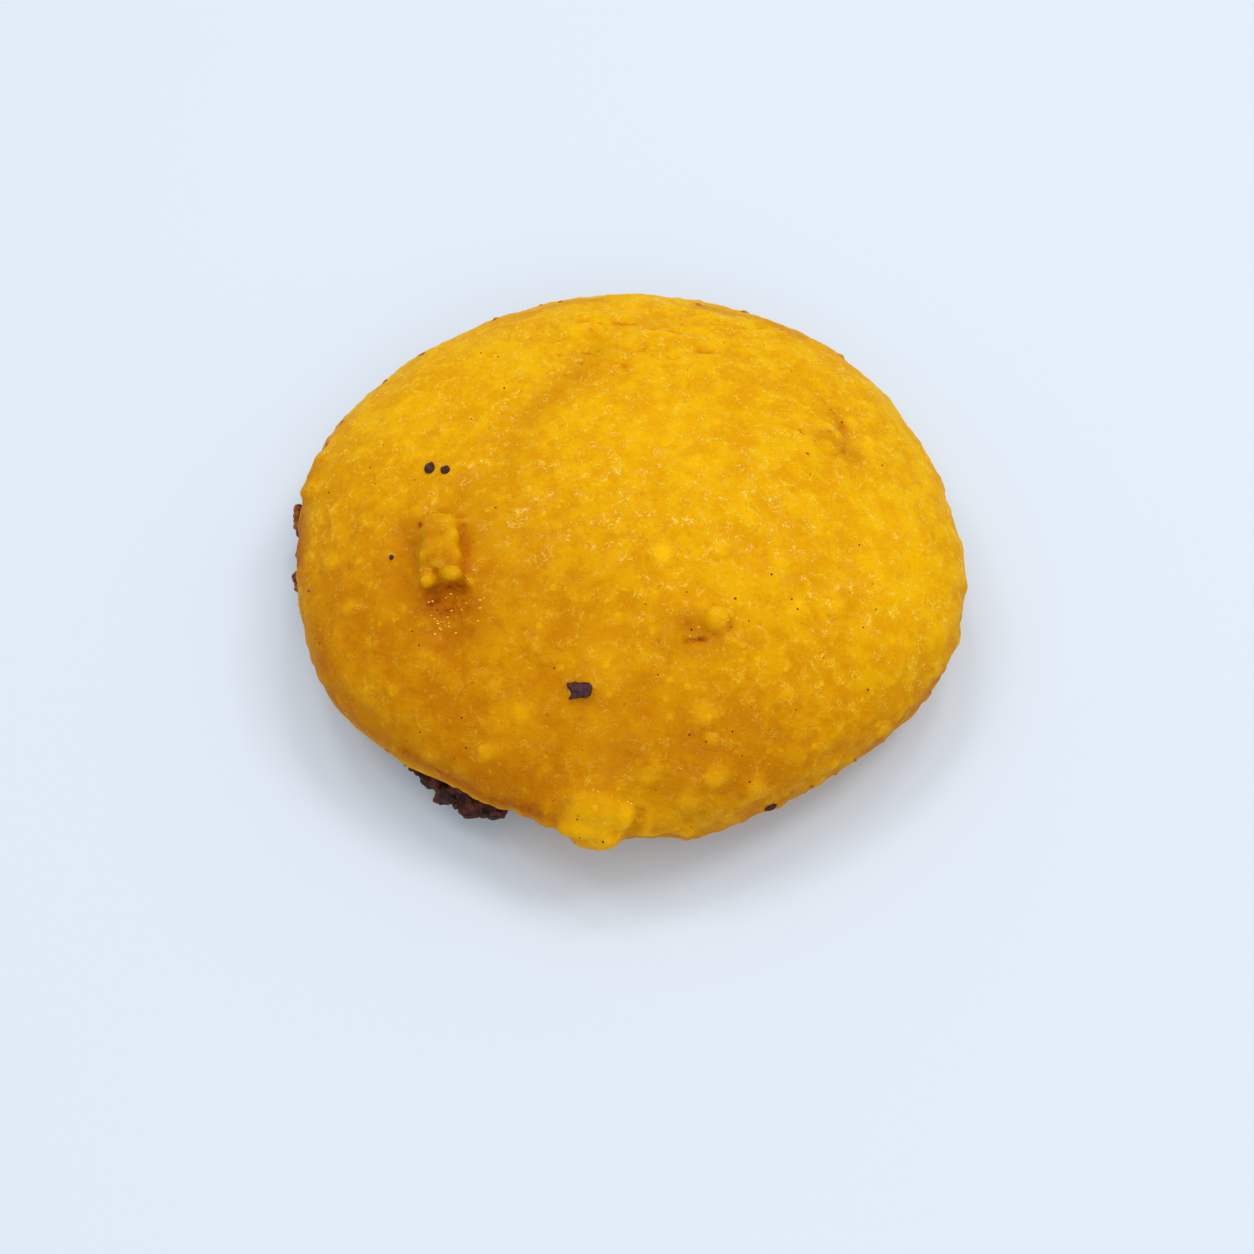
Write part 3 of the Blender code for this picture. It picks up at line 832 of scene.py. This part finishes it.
# %% Scatter pepper-fine charred specks
SPECK_PIXELS = (
    (414.8, 480), (383.5, 445.3), (370, 467.5), (375, 483.8), (495.6, 507.6), (497.9, 356.8),
    (480.9, 353), (414.7, 621), (412.2, 631.3), (437, 610.3), (438.3, 673.2), (449.8, 671.4),
    (320, 643.3), (461.6, 717.8), (547.2, 715), (454.3, 758), (466, 748), (407, 741),
    (419.7, 732), (331.4, 682), (554.4, 668), (624, 704), (645.6, 604.2), (731.6, 627),
    (713.7, 634), (749, 621), (657.8, 674.8), (875.9, 609.4), (863.4, 627.5), (906.9, 574),
    (849.9, 592.4), (735.5, 598.5), (751.3, 706.7), (769.9, 729.8), (732.5, 731.6),
    (706, 741.8), (868, 689.7), (823.8, 658), (749.7, 781.9), (801.6, 432.5), (807.5, 453.7),
    (814.7, 441), (821.5, 432), (830.6, 409.5), (843, 451), (882, 465.5), (863.9, 399.4),
    (806.8, 385.8), (791.4, 371), (763.8, 345.5), (720, 324.6), (651.7, 355), (578, 816),
    (577, 819.5), (579.6, 838), (603, 842), (686.7, 592), (734.7, 598.6),
)
SPECK_SEED = 41
SPECK_RADII = (0.11, 0.24)
HIDDEN_SPECKS = 60
SPECK_LEVEL = 14 * MM


def speck_at(place, normal):
    """Makes one flat speck, half sunk in the skin."""
    radius = chance.uniform(*SPECK_RADII)
    half_size = (radius, radius * chance.uniform(0.7, 1.4), radius * 0.5)
    return make_ball(place, lie_on_skin(normal), half_size, subdivisions=1)


def outside_place(tree, azimuth, elevation):
    """Gives the place on the skin seen from a direction outside the cake."""
    away = Vector(
        (
            math.cos(elevation) * math.cos(azimuth),
            math.cos(elevation) * math.sin(azimuth),
            math.sin(elevation),
        )
    )
    start = Vector((0, 0, SPECK_LEVEL)) + away * OUTSIDE
    place, normal, _, _ = tree.ray_cast(start, -away)
    return place, normal


chance = random.Random(SPECK_SEED)
specks = [speck_at(*rim_place(tree, *pixel)) for pixel in SPECK_PIXELS]
for _ in range(HIDDEN_SPECKS):
    azimuth = math.radians(chance.uniform(0, 360))
    elevation = math.radians(chance.uniform(-60, 35))
    specks.append(speck_at(*outside_place(tree, azimuth, elevation)))
specks = join_pieces("charred_specks", specks)
print("specks:", triangles(specks), "triangles")

# %% [markdown]
# The rim scrapes along other cakes in the oil, so browned crumbs of dough
# cling to it. They break the outline of the cake in the picture. They are
# small ico spheres, each dented by a cloud texture.

# %% Stick browned crumbs to the rim
RIM_CRUMBS = (
    # (pixel, radius in mm)
    ((541, 305.4), 0.55), ((560, 302), 0.6), ((341.6, 423), 0.7), ((328, 443.5), 0.8),
    ((856.6, 760.4), 0.6), ((838, 775.8), 0.55), ((811.3, 786.4), 0.5), ((805.7, 794.3), 0.6),
    ((792, 792), 0.5), ((929, 693.6), 0.55), ((699, 305), 0.6), ((744.5, 312), 0.7),
    ((846.5, 351), 0.8), ((782, 330), 0.6), ((385, 382), 0.6), ((420, 352), 0.6),
    ((495, 318), 0.7), ((384, 752), 0.5), ((310, 590), 0.5), ((346, 712), 0.6),
)
CRUMB_SINK = 0.35
crumbs = []
for pixel, radius in RIM_CRUMBS:
    place, normal = rim_place(tree, *pixel)
    place -= normal * CRUMB_SINK * radius * MM
    wide, deep = chance.uniform(0.9, 1.7), chance.uniform(0.8, 1.1)
    half_size = (radius * wide, radius * deep, radius * 0.8)
    crumbs.append(make_ball(place, lie_on_skin(normal), half_size))
crumbs = join_pieces("browned_crumbs", crumbs)
displace(crumbs, cloud("crumb dents", 0.8, 1), 0.5, "")
smooth_out(crumbs)
print("crumbs:", triangles(crumbs), "triangles")

# %% [markdown]
# Where dough was torn, round the knob and in the rough patch, single grains
# of corn stand up and catch the light. They are ico spheres about half a
# millimetre wide, at the places where the picture shows them, and a few more
# are spread over the torn dough between them. Their pale colour also stands
# for glints at those places, on the creases of the nub and in the rough
# patch, where it is a painted highlight.

# %% Set pale grains of corn into the torn dough
GRAIN_AND_GLINT_PIXELS = (
    (446, 598), (451, 594), (457, 597), (466, 603), (474, 570), (421, 570), (484, 598),
    (480, 608), (437, 621), (441, 622), (443.5, 621.5), (449, 623), (470, 622), (478, 621),
    (435, 634), (456, 633), (426, 520.5), (450, 516), (442, 525), (468, 579), (451.5, 566.5),
    (830, 425.5), (837, 436.5), (822, 441.5), (828, 446), (852, 422), (868.5, 439),
    (823, 432), (841, 416), (826, 443), (833, 448), (593, 790), (598, 791.5), (603, 793),
    (612, 797), (619, 800.5), (628, 802), (631, 803.5), (594, 818.5), (599, 820), (604, 823),
    (699, 627), (690, 636), (728, 620), (717, 650), (676, 663),
)
GRAIN_SEED = 8
TORN_GRAINS = 14
TORN_GRAIN_PIXELS = ((428, 592), (480, 630))
GRAIN_RADII = (0.12, 0.21)
chance = random.Random(GRAIN_SEED)
grain_places = list(GRAIN_AND_GLINT_PIXELS)
for _ in range(TORN_GRAINS):
    grain_places.append(tuple(map(chance.uniform, *TORN_GRAIN_PIXELS)))
grains = []
for pixel in grain_places:
    place, normal = rim_place(tree, *pixel)
    radius = chance.uniform(*GRAIN_RADII)
    wide, deep = chance.uniform(1.0, 1.8), chance.uniform(0.7, 1.1)
    half_size = (radius * wide, radius * deep, radius * 0.7)
    grains.append(make_ball(place, lie_on_skin(normal), half_size, subdivisions=2))
grains = join_pieces("corn_grains", grains)
displace(grains, cloud("grain dents", 0.5, 1), 0.12, "")
smooth_out(grains)
print("grains:", triangles(grains), "triangles")

# %% [markdown]
# Loose bits of meat cling to the open edge of the filling. Three kinds are
# modelled, each once, as an ico sphere whose points are shaken and then
# dented by a cell texture. Each is dented at another place in the texture,
# so that no two are alike.

# %% Model three bits of meat
BIT_SEEDS = (1, 2, 3)
BIT_SHIFT = Vector((10, 0, 0)) * MM


def make_bit(name, seed):
    """Makes one lumpy bit of meat, one millimetre in radius, at the origin."""
    deselect_all()
    bpy.ops.mesh.primitive_ico_sphere_add(subdivisions=3, radius=MM)
    bit = bpy.context.active_object
    bit.name = name
    bpy.ops.object.mode_set(mode="EDIT")
    bpy.ops.mesh.select_all(action="SELECT")
    bpy.ops.transform.vertex_random(offset=0.1 * MM, seed=seed)
    bpy.ops.object.mode_set(mode="OBJECT")
    aside = BIT_SHIFT * seed
    bit.data.transform(Matrix.Translation(aside))
    displace(bit, cells("bit lumps", 1.1), -0.7, "", middle=0.4)
    bit.data.transform(Matrix.Translation(-aside))
    return bit


bits = [make_bit(f"meat bit {seed}", seed) for seed in BIT_SEEDS]
print("a bit has", triangles(bits[0]), "triangles")

# %% [markdown]
# The bits are copied along the seam with a seeded turn and size, each half
# sunk in the filling that carries it. A few are placed one by one: the thin
# wedge at the front end, and the rusty ones that stick out at the left edge.

# %% Copy the bits along the seam
SEAM_DEGREES = (192, 250)
BIT_COUNT = 110
BIT_LEVELS = (4.6, 12.0)
BIT_RADII = (0.4, 0.95)
BIT_SINK = 0.25 * MM
SHOWN_BITS = (
    # (pixel, level in mm, radii right, away, up in mm)
    ((298.5, 513), 10.0, (1.2, 2.0, 1.3)),
    ((299.0, 524), 9.0, (1.3, 1.8, 1.4)),
    ((300.5, 532), 8.5, (1.0, 1.3, 1.2)),
    ((297.0, 578), 9.0, (1.1, 1.6, 1.2)),
    ((298.5, 587), 8.5, (1.0, 1.3, 1.1)),
)
WEDGE_BITS = (
    ((407, 763.5), 9.5, (0.7, 0.6, 0.6)),
    ((412, 768), 9.2, (0.8, 0.7, 0.7)),
    ((418, 772), 9.0, (0.9, 0.8, 0.8)),
    ((425, 778), 9.0, (0.9, 0.9, 0.9)),
)


def level_place(x, y, level):
    """Gives the place behind a pixel at a height in millimetres."""
    start, direction = picture_ray(x, y)
    return start + direction * ((level * MM - start.z) / direction.z)


def copy_bit(bit, place, radii, turn):
    """Copies a bit with its own mesh to a place, sized and turned."""
    choose(bit)
    bpy.ops.object.duplicate()
    copied = bpy.context.active_object
    copied.scale = radii
    copied.rotation_euler = turn
    copied.location = place
    bpy.ops.object.transform_apply(location=True, rotation=True, scale=True)
    return copied


meat_tree = skin_tree(filling)
copies = []
for _ in range(BIT_COUNT):
    azimuth = math.radians(chance.uniform(*SEAM_DEGREES))
    level = chance.uniform(*BIT_LEVELS) * MM
    place, _, outward = side_place(meat_tree, azimuth, level)
    if place is None:
        continue
    size = chance.uniform(*BIT_RADII)
    radii = (size, size * chance.uniform(0.7, 1.2), size * 0.8)
    turn = [chance.uniform(0, math.tau) for _ in range(3)]
    copies.append(copy_bit(chance.choice(bits), place - outward * BIT_SINK, radii, turn))


def copies_at(table):
    """Copies chosen bits to a table of pixels, levels and radii."""
    return [
        copy_bit(chance.choice(bits), level_place(*pixel, level), radii, (0, 0, 0))
        for pixel, level, radii in table
    ]


meat_bits = join_pieces("meat_bits", copies + copies_at(WEDGE_BITS))
smooth_out(meat_bits)
rusty_bits = join_pieces("rusty_bits", copies_at(SHOWN_BITS))
smooth_out(rusty_bits)
for bit in bits:
    bpy.data.meshes.remove(bit.data)
print("meat bits:", len(copies), "copies,", triangles(meat_bits), "triangles")

# %% [markdown]
# A material is built from a few sums of patterns. Written as Python, a sum
# of nodes reads as it would on paper: a small class wraps the output of a
# node, and each + or * adds a Math node. Colours are mixed with Mix nodes,
# because a Math node would turn them grey.

# %% Write nodes as sums
class Wire:
    """The output of a node, with its sums written as Python."""

    def __init__(self, finish, socket):
        self.finish = finish
        self.socket = socket

    def math(self, operation, *values):
        return self.finish.node(
            "ShaderNodeMath", {"operation": operation}, dict(enumerate(values))
        )

    def __add__(self, other):
        return self.math("ADD", self, other)

    def __radd__(self, other):
        return self.math("ADD", other, self)

    def __sub__(self, other):
        return self.math("SUBTRACT", self, other)

    def __rsub__(self, other):
        return self.math("SUBTRACT", other, self)

    def size(self):
        """Gives the value without its sign."""
        return self.math("ABSOLUTE", self)

    def __mul__(self, other):
        return self.math("MULTIPLY", self, other)

    def __rmul__(self, other):
        return self.math("MULTIPLY", other, self)

    def ramp(self, low, high):
        """Goes smoothly from 0 where this is low to 1 where it is high."""
        return self.finish.node(
            "ShaderNodeMapRange",
            {"interpolation_type": "SMOOTHSTEP"},
            {"Value": self, "From Min": low, "From Max": high},
        )


class Finish:
    """A material, its surface shader and the nodes that feed it."""

    def __init__(self, name):
        self.material = bpy.data.materials.new(name)
        self.material.use_nodes = True
        self.nodes = self.material.node_tree.nodes
        self.links = self.material.node_tree.links
        self.shader = next(n for n in self.nodes if n.type == "BSDF_PRINCIPLED")
        self.place = self.node("ShaderNodeTexCoord", {}, {}, "Object")

    def feed(self, socket, value):
        """Links a wire to a socket, or writes a number or colour on it."""
        if isinstance(value, Wire):
            self.links.new(value.socket, socket)
        else:
            socket.default_value = value

    def node(self, kind, settings, inputs, output=0):
        """Adds a node: its settings first, then its inputs, and gives an output."""
        made = self.nodes.new(kind)
        for setting, value in settings.items():
            setattr(made, setting, value)
        for key, value in inputs.items():
            self.feed(pick_socket(made.inputs, key), value)
        return Wire(self, pick_socket(made.outputs, output))

    def surface(self, **inputs):
        """Feeds the surface shader's sockets, named with _ for a space."""
        for key, value in inputs.items():
            self.feed(self.shader.inputs[key.replace("_", " ")], value)

    def put_on(self, *pieces):
        """Makes this the only material of some pieces."""
        for piece in pieces:
            piece.data.materials.clear()
            piece.data.materials.append(self.material)

    def noise(self, size, detail=2, roughness=0.5, place=None):
        """A cloud pattern from 0 to 1 with lumps size millimetres wide."""
        settings = {"Scale": 1 / (size * MM), "Detail": detail, "Roughness": roughness}
        return self.node("ShaderNodeTexNoise", {}, {"Vector": place or self.place, **settings})

    def turned(self, angle):
        """Object coordinates turned about an axis, to part two like patterns."""
        inputs = {"Vector": self.place, "Angle": angle, "Axis": (0.3, 0.8, 0.5)}
        return self.node("ShaderNodeVectorRotate", {}, inputs)

    def cells(self, size, place):
        """The distance from the middles of cells size millimetres wide."""
        inputs = {"Vector": place, "Scale": 1 / (size * MM)}
        return self.node("ShaderNodeTexVoronoi", {}, inputs, "Distance")

    def axis(self, name):
        """Object coordinates along one axis, X, Y or Z, in metres."""
        return self.node("ShaderNodeSeparateXYZ", {}, {"Vector": self.place}, name)

    def noted(self, name):
        """A number that was kept with each point of the piece."""
        return self.node("ShaderNodeAttribute", {"attribute_name": name}, {}, "Fac")

    def mix(self, share, first, second):
        """Mixes two colours."""
        inputs = {"Factor_Float": share, "A_Color": first, "B_Color": second}
        settings = {"data_type": "RGBA"}
        return self.node("ShaderNodeMix", settings, inputs, "Result_Color")

    def bump(self, height, depth, strength=1.0):
        """Turns a height from 0 to 1 into a bump, depth in millimetres."""
        inputs = {"Height": height, "Distance": depth * MM, "Strength": strength}
        return self.node("ShaderNodeBump", {}, inputs)


def pick_socket(sockets, key):
    """Finds a socket by its number, identifier or name."""
    if isinstance(key, int):
        return sockets[key]
    for socket in sockets:
        if key in (socket.identifier, socket.name):
            return socket
    raise KeyError(key)


def shade(red, green, blue):
    """Turns a colour as shown, 0 to 255, into light values."""
    def light(value):
        value /= 255
        return value / 12.92 if value <= 0.04045 else ((value + 0.055) / 1.055) ** 2.4

    return (light(red), light(green), light(blue), 1)


print("shade of the crust:", shade(234, 174, 23))

# %% [markdown]
# The crust is opaque yellow maize dough with a thin film of oil. Its yellow
# wanders between two tones in patches of some millimetres. Towards the front
# and low on the sides the yellow is painted deeper, as painted shade. The
# zones noted above brown it and also paint shade on it, the hollows and
# creases get painted shade in orange and brown, and it pales on mounds and
# blisters and in zones of painted light. The oil stands in short strokes
# between the grains, so the coat is strong only there and gives small glints
# and no even shine. The same strokes are painted pale into the yellow as
# painted glints.

# %% Finish of the fried crust
CLEAR_YELLOWS = (shade(223, 154, 0), shade(235, 177, 2))
# The deeper yellows are painted shade for the front and the low sides.
SHADED_YELLOWS = (shade(197, 123, 0), shade(216, 149, 0))
# Painted shade in the hollows.
HOLLOW_SHADE_ORANGE = shade(222, 126, 0)
MOUND_YELLOW = shade(244, 190, 12)
# Pale yellow for real paleness and painted light.
PALE_AND_LIT_YELLOW = shade(252, 188, 8)
# Painted glints.
PAINTED_GLINT_YELLOW = shade(255, 207, 56)
# Browning and painted shade.
TOAST_AND_SHADE_BROWN = shade(152, 56, 0)
SCORCHED_BROWN = shade(104, 34, 4)
# Painted shade in the creases.
CREASE_SHADE_BROWN = shade(182, 96, 0)
skin = Finish("fried_crust")
broad = skin.noise(16, 3)
patchy = skin.noise(4.2, 3, 0.6)
mottled = skin.noise(0.9, 4, 0.7)
grain = skin.noise(0.4, 2, 0.7)
stroke = skin.noise(0.9, 1, 0.5, skin.turned(0.7))
stroke_room = skin.noise(2.2, 3, 0.6, skin.turned(1.9))
dots = skin.cells(3.4, skin.turned(0.4))
lift = skin.noted("relief")
fold = skin.noted("crease")
# brown holds real browning and painted shade from the zones above.
brown = skin.noted("browning_and_shade")
pale = skin.noted("paleness_and_light")
blister = skin.noted("blister")

depth_of_tone = (broad * 0.3 + patchy * 0.48 + mottled * 0.22).ramp(0.4, 0.6)
clear = skin.mix(depth_of_tone, *CLEAR_YELLOWS)
# deep is the painted shade tone of the yellow.
deep = skin.mix(depth_of_tone, *SHADED_YELLOWS)
# Painted shade: the yellow turns deeper towards the front and low on the sides.
towards_front = (0 - skin.axis("Y")) * 0.95 + (0 - skin.axis("X")) * 0.45
low_side = 1 - skin.axis("Z").ramp(0.006, 0.026)
painted_front_shade = (towards_front + low_side * 0.08 + (broad - 0.5) * 0.03).ramp(-0.012, 0.05)
yellow = skin.mix(painted_front_shade, clear, deep)
# Painted shade: hollows below the smoothed skin are painted orange.
hollow_shade = (0 - lift).ramp(0.05, 0.8)
mound = (lift + (mottled - 0.5) * 0.3).ramp(0.0, 0.9)
# Painted shade: fine creases are painted brown.
crease_shade = (0 - fold).ramp(0.1, 0.9)
yellow = skin.mix(hollow_shade * 0.4, yellow, HOLLOW_SHADE_ORANGE)
yellow = skin.mix(mound * 0.35, yellow, MOUND_YELLOW)
pale_dots = (1 - (dots + (mottled - 0.5) * 0.2).ramp(0.12, 0.26)) * patchy.ramp(0.5, 0.56)
uneven = (patchy - 0.5) * 0.5 + (mottled - 0.5) * 0.35
blister_spots = blister * 0.14 + (blister + uneven).ramp(0.38, 0.62) * 0.24
# Real paleness and painted light: pale zones, blisters and dots are mixed to one pale yellow.
yellow = skin.mix(pale * 0.7 + blister_spots + pale_dots * 0.42, yellow, PALE_AND_LIT_YELLOW)
# Painted glints: the oil strokes are painted pale into the yellow, beside their coat.
strokes = 1 - (stroke - 0.5).size().ramp(0.015, 0.075)
glints = strokes * stroke_room.ramp(0.5, 0.62) * (1 - painted_front_shade * 0.6)
yellow = skin.mix(glints * 0.62, yellow, PAINTED_GLINT_YELLOW)
seat = 1 - skin.axis("Z").ramp(0.0004, 0.005)
seat_brown = seat * (0.1 + (broad * 0.6 + patchy * 0.4).ramp(0.46, 0.6) * 0.34)
brown_and_shade_here = brown + seat_brown
toast_and_shade = brown_and_shade_here * (0.62 + mottled.ramp(0.3, 0.7) * 0.5 + patchy.ramp(0.35, 0.65) * 0.26)
browned = skin.mix(toast_and_shade, yellow, TOAST_AND_SHADE_BROWN)
browned = skin.mix(toast_and_shade.ramp(0.55, 1.1) * 0.8, browned, SCORCHED_BROWN)
browned = skin.mix(crease_shade * 0.35, browned, CREASE_SHADE_BROWN)
skin.surface(
    Base_Color=browned,
    Roughness=0.5 + mottled * 0.2,
    IOR=1.45,
    Specular_IOR_Level=0.03,
    Subsurface_Weight=0.25,
    Subsurface_Radius=(1.0, 0.45, 0.05),
    Subsurface_Scale=1.4 * MM,
    Coat_Weight=0.02 + glints * 0.3 + grain.ramp(0.58, 0.75) * 0.1,
    Coat_Roughness=0.12,
    Normal=skin.bump(patchy * 0.5 + mottled * 0.4 + grain * 0.12 + glints * 0.1, 0.9, 0.9),
)
skin.put_on(crust)
print("crust finish:", len(skin.nodes), "nodes")

# %% [markdown]
# The meat is a dark, moist brown with redder bits, and its creases are
# nearly black.

# %% Finish of the meat
meat = Finish("browned_meat")
blotch = meat.noise(2.2, 3)
fibre = meat.noise(0.6, 3, 0.7)
dark = meat.mix(blotch.ramp(0.44, 0.64), shade(44, 17, 4), shade(90, 35, 15))
meat.surface(
    Base_Color=dark,
    Roughness=0.4 + fibre * 0.3,
    Specular_IOR_Level=0.2,
    Coat_Weight=fibre.ramp(0.5, 0.7) * 0.25,
    Coat_Roughness=0.25,
    Normal=meat.bump(fibre, 0.3, 0.7),
)
meat.put_on(filling, meat_bits)
print("meat finish:", len(meat.nodes), "nodes")

# %% [markdown]
# Charred crumbs are purple-black and dull. Browned crumbs and the rusty bits
# of meat are a warm brown that turns darker in blotches. All three have the
# same simple finish in their own colours. Specks and grains of corn are too
# small to show more than a colour.

# %% Finishes of the charred and browned crumbs
def crumb_finish(name, size, edges, colours, roughness):
    """Makes a finish blotched between two colours and finely dented."""
    finish = Finish(name)
    blotches = finish.noise(size, 3)
    finish.surface(
        Base_Color=finish.mix(blotches.ramp(*edges), *colours),
        Roughness=roughness[0] + blotches * roughness[1],
        Specular_IOR_Level=0.3,
        Normal=finish.bump(blotches, 0.2, 0.6),
    )
    return finish


CHAR = (shade(34, 16, 22), shade(84, 38, 36))
TOAST = (shade(158, 80, 10), shade(212, 132, 14))
RUST = (shade(84, 30, 8), shade(160, 82, 14))
crumb_finish("charred_crumb", 0.8, (0.35, 0.7), CHAR, (0.5, 0.3)).put_on(flake, seeds)
crumb_finish("browned_crumb", 1.2, (0.35, 0.65), TOAST, (0.45, 0.25)).put_on(crumbs)
crumb_finish("rusty_bit", 1.6, (0.4, 0.6), RUST, (0.45, 0.25)).put_on(rusty_bits)
pepper = Finish("dark_speck")
pepper.surface(
    Base_Color=pepper.mix(pepper.noise(3, 1), shade(62, 24, 0), shade(124, 62, 2)),
    Roughness=0.8,
    Specular_IOR_Level=0,
)
pepper.put_on(specks)
# Painted highlight: the grains' pale yellow also stands for glints.
corn = Finish("corn_grain_and_glint")
corn.surface(
    Base_Color=corn.mix(corn.noise(2, 1).ramp(0.4, 0.6), shade(236, 164, 24), shade(252, 204, 70)),
    Roughness=0.4,
    Specular_IOR_Level=0.1,
    Coat_Weight=0.2,
    Coat_Roughness=0.2,
)
corn.put_on(grains)
print("speck and grain finishes:", len(pepper.nodes) + len(corn.nodes), "nodes")

# %% [markdown]
# The cake stands on a plain pale floor. Lamps behind it on the left and
# right light the crown and let the shadow fall to the front. Two small ones
# beside them give the glints, a broad one overhead softens the light, and
# one in front opens the shadow on the nub. A pale sky fills the rest.

# %% Floor and lights
FLOOR_SIDE = 3
deselect_all()
bpy.ops.mesh.primitive_plane_add(size=FLOOR_SIDE)
floor = bpy.context.active_object
floor.name = "plain_floor"
ground = Finish("plain_floor")
ground.surface(Base_Color=shade(213, 221, 229), Roughness=0.6, Specular_IOR_Level=0.2)
ground.put_on(floor)


def soft_lamp(name, place, side, power):
    """Adds a square lamp at a place in metres, turned to the cake."""
    bpy.ops.object.light_add(type="AREA", location=place)
    lamp = bpy.context.active_object
    lamp.name = name
    lamp.data.size = side
    lamp.data.energy = power
    lamp.rotation_euler = Vector(place).to_track_quat("Z", "Y").to_euler()


soft_lamp("right_lamp", (0.62, 0.35, 1.05), 0.35, 2.9)
soft_lamp("left_lamp", (-0.6, 0.35, 1.05), 0.35, 1.6)
soft_lamp("right_tube", (0.25, 0.62, 1.05), 0.2, 1.4)
soft_lamp("left_tube", (-0.25, 0.62, 1.05), 0.2, 1.4)
soft_lamp("top_lamp", (0, 0.1, 1.2), 0.8, 1.2)
soft_lamp("front_lamp", (0.1, -0.8, 0.8), 0.7, 3.0)
sky = bpy.data.worlds.new("pale_sky")
sky.use_nodes = True
sky.node_tree.nodes["Background"].inputs["Color"].default_value = shade(236, 242, 250)
SKY_STRENGTH = 0.65
sky.node_tree.nodes["Background"].inputs["Strength"].default_value = SKY_STRENGTH
bpy.context.scene.world = sky
print("lights set")

# %% [markdown]
# Every piece rides on the one body. The crust, its crumbs and specks stand
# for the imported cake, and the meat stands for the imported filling.

# %% Hand the pieces over
for piece in (crust, flake, seeds, specks, crumbs, grains):
    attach(piece, "root")
    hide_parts("corn_cake")
for piece in (filling, meat_bits, rusty_bits):
    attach(piece, "root")
    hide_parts("filling")
